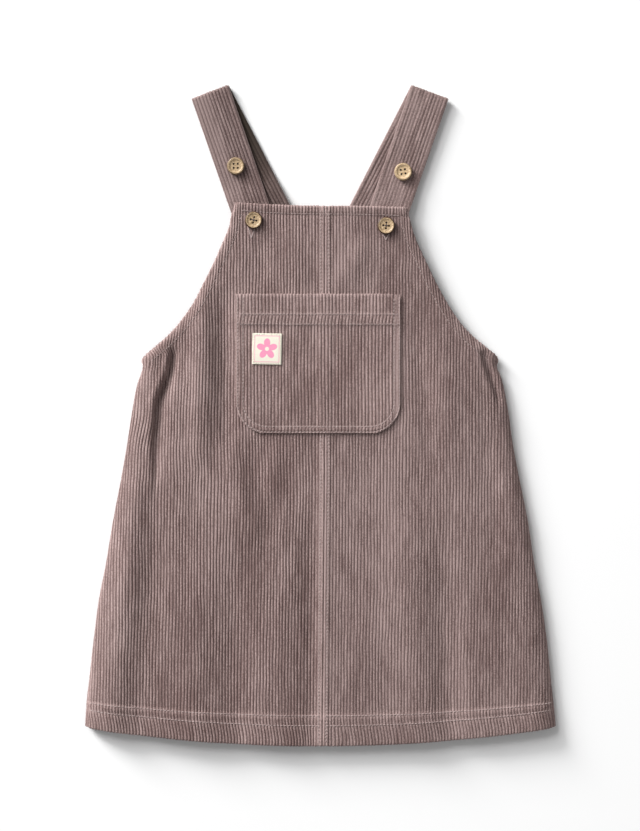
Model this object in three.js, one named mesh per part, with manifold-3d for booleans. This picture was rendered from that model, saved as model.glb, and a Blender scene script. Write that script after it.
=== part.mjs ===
// A child's corduroy pinafore dress, buttoned up and laid flat on its back panel.
//
// Millimetres. +X runs to the right across the front, +Y from the hem to the straps and +Z up
// from the surface that the dress lies on. The origin is on that surface, under the middle of
// the whole outline. Left and right are those of someone looking down at the front.
//
// Every cloth piece is a closed wall between two grids of points, which are worked out from
// tables of sections and folds. Pieces that touch keep a small gap.

import * as THREE from 'three';
import { mergeVertices } from 'three/addons/utils/BufferGeometryUtils.js';
import Module from 'manifold-3d';

const wasm = await Module();
wasm.setup();

// ---- driving dimensions ----

const CLOTH = 1.5; // one layer of corduroy
const HEM_CLOTH = 2.6; // corduroy turned up and pressed
const STRAP_CLOTH = 2.6; // a strap, sewn double
const LABEL_CLOTH = 0.7; // woven ribbon
const GAP = 0.3; // between pieces that touch

const SEAM_AT_TOP = 4; // where the centre front seam lies across the bib
const SEAM_AT_HEM = 2; // and at the hem, to which it drifts

const BACK_TOP = 171; // height of the back panel's top edge, which the bib hides
const BACK_HEM_SHORT = 2.5; // how much the back hem stops short of the front one
const ARMHOLE_INSET = 4; // how far the back's armhole edge lies inside the front's
const BACK_ROLL = 5; // how far in from its edge the back curls up to the side seam
const UNDERARM = 41.5; // height of the end of the side seam

const POCKET_TOP = 103.3;
const POCKET_BOTTOM = -15.3;
const POCKET_LEFT = -71.2;
const POCKET_RIGHT = 68.6;
const POCKET_CORNER = 26; // radius of the lower corners
const POCKET_HEM = 26; // depth of the turned top edge

const LABEL = { x: -45, y: 56.5, width: 24.8, height: 26.4, tilt: 1.2 }; // tilt in degrees

const BUTTON_RADIUS = 7.5;
const HOLE_RADIUS = 0.95;
const HOLE_SPREAD = 1.75; // from the button's middle to each of its four holes, along X and Y

const DEGREES = Math.PI / 180;

function table(columns, rows) {
  return rows.map((row) => Object.fromEntries(columns.map((name, k) => [name, row[k]])));
}

// ---- the front's sections ----
//
// y: the section's height at the centre. left, right: the outline's ends. riseLeft, riseRight:
// how much higher those ends are than the centre. crown: height of the outside face. rim: its
// height at the outline. roll: how far in from the outline the cloth starts to round over.
// turn: how many degrees it has turned by there, 90 where it meets the side seam.

const SECTION_COLUMNS = ['y', 'left', 'right', 'riseLeft', 'riseRight', 'crown', 'rim', 'roll', 'turn', 'cloth'];
const SECTIONS = table(SECTION_COLUMNS, [
  [-281, -200.6, 201.4, 16, 16, 10.9, 3.4, 20, 90, HEM_CLOTH],
  [-255, -199.4, 199.4, 10, 10, 10.9, 3.4, 21, 90, HEM_CLOTH],
  [-254, -199.2, 199.2, 10, 10, 10.9, 3.4, 21, 90, CLOTH],
  [-228, -196.7, 196.8, 6, 6, 10.9, 3.4, 22, 90, CLOTH],
  [-195, -193.4, 193.8, 2.5, 2.5, 11, 3.4, 22, 90, CLOTH],
  [-160, -189.3, 189.2, 0, 0, 11, 3.4, 22, 90, CLOTH],
  [-125, -182.6, 182.7, 0, 0, 11, 3.4, 22, 90, CLOTH],
  [-90, -176.8, 177.5, 0, 0, 11, 3.4, 22, 90, CLOTH],
  [-55, -170, 170.5, 0, 0, 10.8, 3.4, 22, 90, CLOTH],
  [-20, -164, 164, 0, 0, 10.6, 3.4, 20, 90, CLOTH],
  [0, -161, 161.3, 0, 0, 10.5, 3.4, 19, 90, CLOTH],
  [14, -158.7, 158.9, 0, 0, 10.4, 3.4, 18, 90, CLOTH],
  [27, -156, 156.3, 0, 0, 10.3, 3.4, 17, 90, CLOTH],
  [37, -152.4, 153, 0, 0, 10.2, 3.4, 16, 90, CLOTH],
  [UNDERARM, -151.1, 150.6, 0, 0, 10.1, 3.4, 15, 90, CLOTH],
  [46, -152.1, 152.1, 0, 0, 10, 4.6, 14, 60, HEM_CLOTH],
  [50, -150.6, 151.3, 0, 0, 10, 5.6, 13, 50, HEM_CLOTH],
  [57, -142.8, 143.6, 0, 0, 9.9, 7.2, 12, 45, HEM_CLOTH],
  [68, -130, 130, 0, 0, 9.8, 8.3, 11, 40, HEM_CLOTH],
  [80, -119.2, 119, 0, 0, 9.7, 8.6, 10, 40, HEM_CLOTH],
  [95, -108.5, 109, 0, 0, 9.6, 8.6, 10, 40, HEM_CLOTH],
  [112, -99.5, 99.5, 0, 0, 9.5, 8.6, 10, 40, HEM_CLOTH],
  [130, -90.6, 91, 0, 0, 9.5, 8.8, 9, 40, HEM_CLOTH],
  [148, -82.5, 82.5, 0, 0, 9.5, 9, 6, 30, CLOTH],
  [162, -77, 77.8, 0, 0, 9.5, 9.2, 4, 30, CLOTH],
  [BACK_TOP, -75.2, 75.8, 0, 0, 9.5, 9.3, 4, 30, CLOTH],
  [178.5, -71.6, 72.4, 3.4, -1.5, 9.5, 9.3, 4, 30, CLOTH],
]);

const TURNED_EDGE = 9; // width of the armhole's turned edge, the only part of its rows that is double
const PATCH_LINE = 82; // a column of the grid keeps to this distance from the middle, past the pocket

// Steps of the grid across half of the front.
const STEPS_TO_PATCH_LINE = 5;
const STEPS_TO_ROLL = 5;
const STEPS_IN_ROLL = 4;

// ---- folds and soft waves of the front ----
//
// Each runs through the named points, fades out at both ends, and lifts or sinks the cloth by
// height. width is the distance over which it falls to about a third.

const FOLDS = [
  { name: 'left underarm valley', height: -4.2, width: 7, path: [[-125, 66], [-128, 42], [-136, 18], [-140, -34]] },
  { name: 'right underarm valley', height: -2.4, width: 6, path: [[137, 56], [143, 38], [151, 8]] },
  { name: 'left flank wave', height: 1.5, width: 14, path: [[-102, 110], [-106, 40], [-106, -40]] },
  { name: 'left flank trough', height: -0.9, width: 10, path: [[-86, 90], [-88, 30], [-87, -40]] },
  { name: 'right flank wave', height: 1.0, width: 15, path: [[112, 70], [122, 0], [128, -80]] },
  { name: 'right flank trough', height: -1.0, width: 11, path: [[140, 20], [147, -50], [152, -120]] },
  { name: 'left hem wave', height: 1.2, width: 14, path: [[-150, -70], [-160, -160], [-180, -340]] },
  { name: 'left hem trough', height: -1.4, width: 14, path: [[-126, -90], [-134, -180], [-154, -340]] },
  { name: 'left skirt wave', height: 1.5, width: 15, path: [[-94, -70], [-100, -170], [-109, -340]] },
  { name: 'left skirt trough', height: -1.2, width: 14, path: [[-74, -90], [-72, -180], [-69, -340]] },
  { name: 'left seam wave', height: 0.8, width: 18, path: [[-34, -60], [-34, -170], [-36, -340]] },
  { name: 'right skirt wave', height: 1.4, width: 17, path: [[84, -60], [88, -170], [97, -340]] },
  { name: 'right skirt trough', height: -1.4, width: 15, path: [[112, -90], [120, -190], [132, -340]] },
];

function fromSegment(x, y, [ax, ay], [bx, by]) {
  const along = ((x - ax) * (bx - ax) + (y - ay) * (by - ay)) / ((bx - ax) ** 2 + (by - ay) ** 2);
  const share = Math.min(1, Math.max(0, along));
  return { share, distance: Math.hypot(x - ax - share * (bx - ax), y - ay - share * (by - ay)) };
}

function foldHeight(fold, x, y) {
  const last = fold.path.length - 1;
  let nearest = { distance: Infinity, place: 0 };
  for (let k = 0; k < last; k += 1) {
    const { share, distance } = fromSegment(x, y, fold.path[k], fold.path[k + 1]);
    if (distance < nearest.distance) nearest = { distance, place: (k + share) / last };
  }
  const fade = Math.sin(Math.PI * nearest.place) ** 0.7;
  return fold.height * fade * Math.exp(-((nearest.distance / fold.width) ** 2));
}

// Where the centre front seam lies at height y.
function seamAt(y) {
  const share = (y - SECTIONS[0].y) / (SECTIONS.at(-1).y - SECTIONS[0].y);
  return SEAM_AT_HEM + (SEAM_AT_TOP - SEAM_AT_HEM) * Math.min(1, 2 * share);
}

// ---- walls between grids of points ----

function normalAt(grid, i, j) {
  const before = (k) => Math.max(k - 1, 0);
  const across = grid[i][Math.min(j + 1, grid[i].length - 1)].clone().sub(grid[i][before(j)]);
  const along = grid[Math.min(i + 1, grid.length - 1)][j].clone().sub(grid[before(i)][j]);
  return across.cross(along).normalize();
}

// A second grid, at the given depths behind the first. sense is 1 where the first grid's
// outside is above a grid that runs right and up, and -1 where it is below. rimNormal gives the
// way out at a row's first and last point, where the cloth faces its seam or ends free.
function behind(grid, sense, depth, rimNormal) {
  return grid.map((row, i) =>
    row.map((point, j) => {
      const isRim = point.x === row[0].x || point.x === row.at(-1).x;
      const outwards = (isRim && rimNormal(i, j)) || normalAt(grid, i, j).multiplyScalar(sense);
      return point.clone().addScaledVector(outwards, -depth(i, j));
    }),
  );
}

// The closed wall between an outside grid and an inside one of the same size.
function wall(outside, inside, sense) {
  const columns = outside[0].length;
  const offset = outside.length * columns;
  const at = (i, j) => i * columns + j;
  const triangles = [];
  const quad = (a, b, c, d) => triangles.push(...(sense > 0 ? [a, b, c, a, c, d] : [a, c, b, a, d, c]));
  for (let i = 0; i < outside.length - 1; i += 1) {
    for (let j = 0; j < columns - 1; j += 1) {
      const corners = [at(i, j), at(i, j + 1), at(i + 1, j + 1), at(i + 1, j)];
      quad(...corners);
      const [a, b, c, d] = corners.map((k) => k + offset);
      quad(a, d, c, b);
    }
  }
  const edge = [];
  for (let j = 0; j < columns - 1; j += 1) edge.push(at(0, j));
  for (let i = 0; i < outside.length - 1; i += 1) edge.push(at(i, columns - 1));
  for (let j = columns - 1; j > 0; j -= 1) edge.push(at(outside.length - 1, j));
  for (let i = outside.length - 1; i > 0; i -= 1) edge.push(at(i, 0));
  edge.forEach((here, k) => {
    const next = edge[(k + 1) % edge.length];
    quad(next, here, here + offset, next + offset);
  });
  const geometry = new THREE.BufferGeometry();
  const points = [...outside.flat(), ...inside.flat()];
  geometry.setAttribute('position', new THREE.Float32BufferAttribute(points.flatMap((p) => [p.x, p.y, p.z]), 3));
  geometry.setIndex(triangles);
  return geometry;
}

// ---- joining and cutting ----

function toSolid(geometry) {
  const bare = geometry.clone();
  bare.deleteAttribute('normal');
  bare.deleteAttribute('uv');
  const merged = mergeVertices(bare);
  const corners = Array.from(merged.index.array);
  const triangles = [];
  for (let k = 0; k < corners.length; k += 3) {
    const [a, b, c] = corners.slice(k, k + 3);
    if (a !== b && b !== c && c !== a) triangles.push(a, b, c);
  }
  const vertProperties = new Float32Array(merged.attributes.position.array);
  return new wasm.Manifold(new wasm.Mesh({ numProp: 3, vertProperties, triVerts: new Uint32Array(triangles) }));
}

function toGeometry(solid) {
  const mesh = solid.getMesh();
  const geometry = new THREE.BufferGeometry();
  geometry.setAttribute('position', new THREE.BufferAttribute(mesh.vertProperties, 3));
  geometry.setIndex(new THREE.BufferAttribute(mesh.triVerts, 1));
  return geometry;
}

// ---- front panels ----

function crownAt(y) {
  const next = SECTIONS.findIndex((section) => section.y >= y);
  if (next <= 0) return SECTIONS.at(next).crown;
  const [low, high] = [SECTIONS[next - 1], SECTIONS[next]];
  return low.crown + ((high.crown - low.crown) * (y - low.y)) / (high.y - low.y);
}

function frontHeight(x, y) {
  return FOLDS.reduce((height, fold) => height + foldHeight(fold, x, y), crownAt(y));
}

// The outside points of one half of a section, from the centre seam to the outline.
function halfSection(section, side) {
  const end = side < 0 ? section.left : section.right;
  const rise = side < 0 ? section.riseLeft : section.riseRight;
  const seam = seamAt(section.y) + (side * GAP) / 2;
  const rollStart = end - side * section.roll;
  const patchLine = side * Math.min(PATCH_LINE, 0.85 * Math.abs(rollStart));
  const place = (x) => {
    const y = section.y + rise * (x / end) ** 2;
    return new THREE.Vector3(x, y, frontHeight(x, y));
  };
  const points = [];
  for (let k = 0; k < STEPS_TO_PATCH_LINE; k += 1) {
    points.push(place(seam + ((patchLine - seam) * k) / STEPS_TO_PATCH_LINE));
  }
  for (let k = 0; k < STEPS_TO_ROLL; k += 1) {
    points.push(place(patchLine + ((rollStart - patchLine) * k) / STEPS_TO_ROLL));
  }
  const turn = section.turn * DEGREES;
  for (let k = 0; k <= STEPS_IN_ROLL; k += 1) {
    const angle = (turn * k) / STEPS_IN_ROLL;
    const point = place(rollStart + (side * section.roll * Math.sin(angle)) / Math.sin(turn));
    point.z -= ((point.z - section.rim) * (1 - Math.cos(angle))) / (1 - Math.cos(turn));
    points.push(point);
  }
  return points;
}

function frontGrid(side) {
  return SECTIONS.map((section) => {
    const points = halfSection(section, side);
    return side < 0 ? points.reverse() : points;
  });
}

const frontGrids = { left: frontGrid(-1), right: frontGrid(1) };

function frontPanel(grid) {
  const depth = (i, j) => {
    const section = SECTIONS[i];
    const isHem = section.y <= SECTIONS[1].y;
    const end = grid[i][j].x < 0 ? section.left : section.right;
    const isTurnedEdge = section.y > UNDERARM && Math.abs(end - grid[i][j].x) < TURNED_EDGE;
    return isHem || isTurnedEdge ? section.cloth : CLOTH;
  };
  const side = grid === frontGrids.left ? -1 : 1;
  const outline = side < 0 ? 0 : grid[0].length - 1;
  const rimNormal = (i, j) => {
    const turn = j === outline ? SECTIONS[i].turn * DEGREES : 0;
    return new THREE.Vector3(side * Math.sin(turn), 0, Math.cos(turn));
  };
  return wall(grid, behind(grid, 1, depth, rimNormal), 1);
}

// ---- back panel ----

const BACK_STEPS_IN_ROLL = 3;
const BACK_STEPS_FLAT = 6;

function backSection(section) {
  const isSewn = section.y <= UNDERARM;
  const isHem = section === SECTIONS[0];
  const inset = isSewn ? 0 : ARMHOLE_INSET;
  const left = section.left + inset;
  const right = section.right - inset;
  const lift = isSewn ? section.rim - GAP : 0;
  const place = (x, z) => {
    const rise = x < 0 ? section.riseLeft : section.riseRight;
    const end = x < 0 ? left : right;
    return new THREE.Vector3(x, section.y + rise * (x / end) ** 2 + (isHem ? BACK_HEM_SHORT : 0), z);
  };
  const curl = (end, side, k) => {
    const angle = (Math.PI / 2) * (k / BACK_STEPS_IN_ROLL);
    return place(end - side * BACK_ROLL * (1 - Math.sin(angle)), lift * (1 - Math.cos(angle)));
  };
  const points = [];
  for (let k = BACK_STEPS_IN_ROLL; k > 0; k -= 1) points.push(curl(left, -1, k));
  for (let k = 0; k <= BACK_STEPS_FLAT; k += 1) {
    const share = k / BACK_STEPS_FLAT;
    points.push(place((left + BACK_ROLL) * (1 - share) + (right - BACK_ROLL) * share, 0));
  }
  for (let k = 1; k <= BACK_STEPS_IN_ROLL; k += 1) points.push(curl(right, 1, k));
  return points;
}

function backPanel() {
  const sections = SECTIONS.filter((section) => section.y <= BACK_TOP);
  const grid = sections.map(backSection);
  const depth = (i) => (sections[i].y <= SECTIONS[1].y ? HEM_CLOTH : CLOTH);
  const rimNormal = (i, j) => {
    const isSewn = sections[i].y <= UNDERARM;
    return isSewn ? new THREE.Vector3(j === 0 ? -1 : 1, 0, 0) : new THREE.Vector3(0, 0, -1);
  };
  return wall(grid, behind(grid, -1, depth, rimNormal), -1);
}

// ---- straps ----
//
// A strap comes up from the back panel, folds flat over the shoulder and runs down in front of
// itself to behind the bib. These are the right-hand strap's corners: its two edges at the
// fold, at the front end and at the back end.

const FOLD_EDGES = { inner: [78, 282.2], outer: [109.8, 270.6] };
const FRONT_END = { inner: [34.6, 156], outer: [66.2, 145] };
const BACK_END = { inner: [17.6, 164], outer: [48.2, 148.4] };

const STRAP_STEPS = 8; // along each of the two stretches
const TURN_STEPS = 6; // round the fold
const STRAP_STEPS_ACROSS = 4;
const RAMP = [0.58, 0.76]; // shares of the length between which it climbs over the back's top edge
const CLIMB = CLOTH + GAP; // how much it climbs by

function mix(a, b, share) {
  return a + (b - a) * share;
}

function strapRow(side, end, share, height, outwards = 0) {
  const foldLine = new THREE.Vector2(...FOLD_EDGES.inner).sub(new THREE.Vector2(...FOLD_EDGES.outer));
  const away = new THREE.Vector2(-foldLine.y, foldLine.x).normalize();
  if (away.y < 0) away.negate();
  const shift = outwards - (STRAP_CLOTH + GAP / 2); // the fold's furthest point is on the fold line
  const row = [];
  for (let k = 0; k <= STRAP_STEPS_ACROSS; k += 1) {
    const across = k / STRAP_STEPS_ACROSS;
    const corner = (edges, axis) => mix(edges.inner[axis], edges.outer[axis], across);
    const x = mix(corner(FOLD_EDGES, 0) + away.x * shift, corner(end, 0), share);
    const y = mix(corner(FOLD_EDGES, 1) + away.y * shift, corner(end, 1), share);
    row.push(new THREE.Vector3(side * x, y, height));
  }
  return side < 0 ? row.reverse() : row;
}

function climbed(share) {
  return CLIMB * THREE.MathUtils.smoothstep(share, ...RAMP);
}

// One face of the strap, at the given depth behind its outside.
function strapGrid(side, depth) {
  const middle = STRAP_CLOTH + GAP / 2;
  const radius = middle - depth;
  const rows = [];
  for (let k = 0; k < STRAP_STEPS; k += 1) {
    const share = 1 - k / STRAP_STEPS;
    rows.push(strapRow(side, FRONT_END, share, middle + radius + climbed(share)));
  }
  for (let k = 0; k <= TURN_STEPS; k += 1) {
    const angle = Math.PI * (0.5 - k / TURN_STEPS);
    rows.push(strapRow(side, FRONT_END, 0, middle + radius * Math.sin(angle), radius * Math.cos(angle)));
  }
  for (let k = 1; k <= STRAP_STEPS; k += 1) {
    const share = k / STRAP_STEPS;
    rows.push(strapRow(side, BACK_END, share, middle - radius + climbed(share)));
  }
  return rows;
}

function strap(side) {
  return wall(strapGrid(side, 0), strapGrid(side, STRAP_CLOTH), 1);
}

// How high the front stretch's outside lies at height y, at its middle.
function strapTop(y) {
  const from = (FOLD_EDGES.inner[1] + FOLD_EDGES.outer[1]) / 2;
  const to = (FRONT_END.inner[1] + FRONT_END.outer[1]) / 2;
  return 2 * STRAP_CLOTH + GAP + climbed((from - y) / (from - to));
}

// ---- what is sewn on the front ----
//
// A patch is cut from a slab made of the front's own points, lifted, so it lies along the
// front's face. lift is from the face to the patch's underside.

const PATCH_ROWS = [-20, 112]; // the slab's lowest and highest section, past both of the pocket's ends

function patchSlab(lift, thickness) {
  const reach = STEPS_TO_PATCH_LINE + 1;
  const rows = [];
  SECTIONS.forEach((section, i) => {
    if (section.y < PATCH_ROWS[0] || section.y > PATCH_ROWS[1]) return;
    rows.push([...frontGrids.left[i].slice(-reach), ...frontGrids.right[i].slice(0, reach)]);
  });
  const raised = (height) => rows.map((row) => row.map((p) => new THREE.Vector3(p.x, p.y, p.z + height)));
  return toSolid(wall(raised(lift + thickness), raised(lift), 1));
}

const CUTTER_HEIGHT = 60;

function patch(outline, lift, thickness) {
  const cutter = new THREE.ExtrudeGeometry(outline, { depth: CUTTER_HEIGHT, bevelEnabled: false, curveSegments: 5 });
  return patchSlab(lift, thickness).intersect(toSolid(cutter));
}

function pocketOutline() {
  const outline = new THREE.Shape();
  const low = POCKET_BOTTOM + POCKET_CORNER;
  outline.moveTo(POCKET_LEFT, POCKET_TOP);
  outline.lineTo(POCKET_LEFT, low);
  outline.absarc(POCKET_LEFT + POCKET_CORNER, low, POCKET_CORNER, Math.PI, 1.5 * Math.PI);
  outline.lineTo(POCKET_RIGHT - POCKET_CORNER, POCKET_BOTTOM);
  outline.absarc(POCKET_RIGHT - POCKET_CORNER, low, POCKET_CORNER, 1.5 * Math.PI, 2 * Math.PI);
  outline.lineTo(POCKET_RIGHT, POCKET_TOP);
  return outline;
}

function rectangle(left, right, bottom, top) {
  const corners = [[left, bottom], [right, bottom], [right, top], [left, top]];
  return new THREE.Shape(corners.map(([x, y]) => new THREE.Vector2(x, y)));
}

function pocket() {
  const hem = rectangle(POCKET_LEFT, POCKET_RIGHT, POCKET_TOP - POCKET_HEM, POCKET_TOP);
  return toGeometry(patch(pocketOutline(), GAP, CLOTH).add(patch(hem, GAP, HEM_CLOTH)));
}

function label() {
  const { x, y, width, height, tilt } = LABEL;
  const outline = rectangle(-width / 2, width / 2, -height / 2, height / 2);
  const middle = new THREE.Vector2(0, 0);
  const turned = outline.getPoints().map((p) => p.rotateAround(middle, -tilt * DEGREES));
  const placed = new THREE.Shape(turned.map((p) => new THREE.Vector2(p.x + x, p.y + y)));
  return toGeometry(patch(placed, GAP + CLOTH + GAP, LABEL_CLOTH));
}

// ---- buttons ----

// Radius and height of the turned profile, from the middle of the back to the middle of the dish.
const BUTTON_PROFILE = [
  [0, 0],
  [5.9, 0],
  [7.1, 0.6],
  [BUTTON_RADIUS, 1.5],
  [7.3, 2.4],
  [6.6, 2.9],
  [5.7, 2.8],
  [4.7, 2.2],
  [0, 2.05],
];
const BUTTON_SIDES = 28;
const HOLE_SIDES = 8;

function button() {
  const profile = BUTTON_PROFILE.map(([radius, height]) => new THREE.Vector2(radius, height));
  const blank = new THREE.LatheGeometry(profile, BUTTON_SIDES).rotateX(Math.PI / 2);
  let solid = toSolid(blank);
  for (const [x, y] of [[1, 1], [-1, 1], [-1, -1], [1, -1]]) {
    const hole = new THREE.CylinderGeometry(HOLE_RADIUS, HOLE_RADIUS, 10, HOLE_SIDES).rotateX(Math.PI / 2);
    solid = solid.subtract(toSolid(hole.translate(x * HOLE_SPREAD, y * HOLE_SPREAD, 0)));
  }
  return toGeometry(solid);
}

const BUTTON_COLUMNS = ['name', 'x', 'y', 'turn', 'seat'];
const BUTTONS = table(BUTTON_COLUMNS, [
  ['button_strap_left', -71.7, 212.3, 0, strapTop],
  ['button_strap_right', 70.7, 207.4, 10, strapTop],
  ['button_bib_left', -56.4, 165.9, 32, crownAt],
  ['button_bib_right', 56.1, 161.2, 40, crownAt],
]);
const BUTTON_STANDOFF = 0.45; // clears the slight slope of a strap

// ---- the dress ----

const corduroy = new THREE.MeshStandardMaterial({ color: 0x8b7674, roughness: 0.95, metalness: 0 });
const ribbon = new THREE.MeshStandardMaterial({ color: 0xf6f1df, roughness: 0.8, metalness: 0 });
const coconut = new THREE.MeshStandardMaterial({ color: 0xcfb285, roughness: 0.45, metalness: 0 });

const dress = new THREE.Group();

function add(name, geometry, material) {
  const mesh = new THREE.Mesh(geometry, material);
  mesh.name = name;
  dress.add(mesh);
  return mesh;
}

add('front_left', frontPanel(frontGrids.left), corduroy);
add('front_right', frontPanel(frontGrids.right), corduroy);
add('back', backPanel(), corduroy);
add('strap_left', strap(-1), corduroy);
add('strap_right', strap(1), corduroy);
add('pocket', pocket(), corduroy);
add('label', label(), ribbon);
for (const { name, x, y, turn, seat } of BUTTONS) {
  const piece = add(name, button(), coconut);
  piece.position.set(x, y, seat(y) + BUTTON_STANDOFF);
  piece.rotation.z = turn * DEGREES;
}

export default dress;
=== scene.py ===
"""A child's corduroy pinafore dress, buttoned up and laid flat, front up.

Sizes are in millimetres and turned into metres when a mesh is made. X runs to the right across
the front, Y from the hem to the straps and Z up from the floor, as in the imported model.
"""

import math

import bpy
import numpy as np
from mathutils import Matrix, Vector


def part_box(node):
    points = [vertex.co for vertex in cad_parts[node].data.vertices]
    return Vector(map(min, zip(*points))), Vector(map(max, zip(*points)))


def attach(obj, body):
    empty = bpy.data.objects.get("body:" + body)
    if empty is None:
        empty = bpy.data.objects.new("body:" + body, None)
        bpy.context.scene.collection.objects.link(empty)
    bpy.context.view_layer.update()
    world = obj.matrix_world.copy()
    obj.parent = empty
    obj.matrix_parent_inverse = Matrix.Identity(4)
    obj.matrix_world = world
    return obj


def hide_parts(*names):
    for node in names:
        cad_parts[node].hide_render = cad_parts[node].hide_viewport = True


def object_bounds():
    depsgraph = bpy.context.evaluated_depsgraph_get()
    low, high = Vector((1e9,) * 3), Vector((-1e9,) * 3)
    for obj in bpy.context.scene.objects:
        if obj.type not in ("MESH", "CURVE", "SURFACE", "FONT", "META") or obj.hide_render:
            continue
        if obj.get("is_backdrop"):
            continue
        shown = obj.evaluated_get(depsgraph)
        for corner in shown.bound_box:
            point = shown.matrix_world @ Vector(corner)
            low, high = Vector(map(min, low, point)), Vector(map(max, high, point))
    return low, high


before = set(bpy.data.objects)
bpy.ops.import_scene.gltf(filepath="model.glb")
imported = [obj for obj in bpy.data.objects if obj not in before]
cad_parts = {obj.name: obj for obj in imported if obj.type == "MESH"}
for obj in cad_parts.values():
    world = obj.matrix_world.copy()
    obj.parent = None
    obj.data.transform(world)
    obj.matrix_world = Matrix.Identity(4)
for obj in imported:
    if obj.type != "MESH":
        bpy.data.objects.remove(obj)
cad_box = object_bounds()

MM = 0.001

# ---- sizes of the dress ----

CLOTH = 1.4  # one layer of corduroy, to the foot of its wales
SEAM_GAP = 0.04  # between the two halves of the front
WALE = 2.68  # from one wale to the next
WALE_HEIGHT = 0.86
COLUMNS_PER_WALE = 6

UNDERARM = 41.5  # height of the end of the side seam
BACK_TOP = 171.0
EDGE_FOLD = 1.25  # radius of a turned edge

SEAM_AT_TOP = 4.0
SEAM_AT_HEM = 2.0
SEAM_BAND = 5.2  # half the width of the pressed allowance under the centre seam
SEAM_ROWS = (-3.5, 2.9)  # its stitch rows, from the seam

# The hem's stitch rows: height above it at the middle, and how much less that is at the sides
HEM_ROWS = ((26.0, 4.8), (17.6, 2.3))
ARMHOLE_ROW = 8.0  # stitch row, from the armhole's edge
BIB_ROW = 7.3  # stitch row, from the bib's top edge

STITCH = 3.0  # from one stitch to the next
THREAD = 0.32  # radius of the topstitching thread
THREAD_LIFT = 0.18  # of its middle, above the middle of the wales
SUNK_THREAD = {"radius": 0.24, "lift": 0.05}  # where a row hardly shows

EDGE_TURN = 2.9  # how far round a turned edge the cloth is made, in radians
EDGE_ANGLES = np.radians((35, 70, 105, 140, 165))  # of the rows that turn a top or bottom edge
SECTION_SAMPLES = (420, 60, 40)  # points along a section: flat, rounding over, and round its turned edge

# Where each piece's wales begin in the streaks that they share, in wales
CLOTH_STARTS = {"front_right": 100, "pocket": 200, "straps": 300}

ARMHOLE_INSET = 4.0  # the back's armholes, from the front's
BACK_HEM_SHORT = 2.5  # how much higher the back's hem lies than the front's
BACK_ROLL = 5.0  # how far in from its side edges the back curls up
BACK_RIM = 3.1  # and how far up
BACK_COLUMNS_PER_WALE = 4

POCKET_TOP = 103.3
POCKET_BOTTOM = -15.3
POCKET_LEFT = -71.2
POCKET_RIGHT = 68.6
POCKET_CORNER = 26.0
POCKET_HEM = 26.0  # depth of its turned top
POCKET_WALE = 2.86
POCKET_WALES = 52
POCKET_LEAN = 0.9  # how far its wales stand aside in the turned top
POCKET_FOLD = 0.62  # radius of its turned edges
POCKET_CLOTH = 0.7
POCKET_LIFT = 1.5  # above the front, to the middle of the wales
POCKET_TOP_ROWS = (17.3, 25.8)  # stitch rows, from its top edge
POCKET_EDGE_ROWS = (1.3, 5.8)  # and from its other edges

LABEL_X, LABEL_Y = -45.0, 56.5
LABEL_WIDTH, LABEL_LENGTH = 24.8, 26.4
LABEL_TILT = 1.2  # in degrees
LABEL_LIFT = 0.85  # above the middle of the pocket's wales
LABEL_CLOTH = 0.4
LABEL_ROW = 1.1  # stitch row, from its edge

STRAP_WIDTH = 33.9
STRAP_CLOTH = 2.1  # both of its layers
STRAP_WALES = 11
STRAP_LIFT = 2.75  # radius of the fold at the shoulder
STRAP_CLIMB = 1.8  # over the back's or under the bib's edge
STRAP_CLEAR = 0.5  # from the floor to the middle of its lowest wales
STRAP_BACK = 65.8  # where its back stretch begins, in wales along the cloth
STRAP_ROWS = 36  # along each stretch
STRAP_FOLD_ROWS = 13  # and round the fold
STRAP_ROW_STEP = 3.6
STRAP_TOP = ((78, 282.2), (109.8, 270.6))  # the fold, from its inner to its outer end, on the right
STRAP_ENDS = {"front": ((34.6, 156), (66.2, 145)), "back": ((17.6, 164), (48.2, 148.4))}

# How light each button is, how much it is flecked, how dark its rim is, and its turn in degrees
BUTTONS = {
    "button_strap_left": (0.78, 0.75, 0.6, 0),
    "button_strap_right": (0.95, 0.1, 0.35, 10),
    "button_bib_left": (0.78, 0.95, 1.0, 32),
    "button_bib_right": (0.82, 0.8, 1.0, 40),
}
# X and Y of the lower end of each bib buttonhole, and of its upper end, spread by the button
BUTTONHOLES = ((-58.3, 151.6, -58.1, 158.6), (56.0, 149.8, 56.2, 154.8))
BUTTONHOLE_SPREAD = 2.1  # half the width of the open end
SATIN_LIFT = 0.34  # of its stitches, above the middle of the wales
HOLE_REACH = 2.475  # from a button's middle to the middle of each of its four holes

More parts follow.
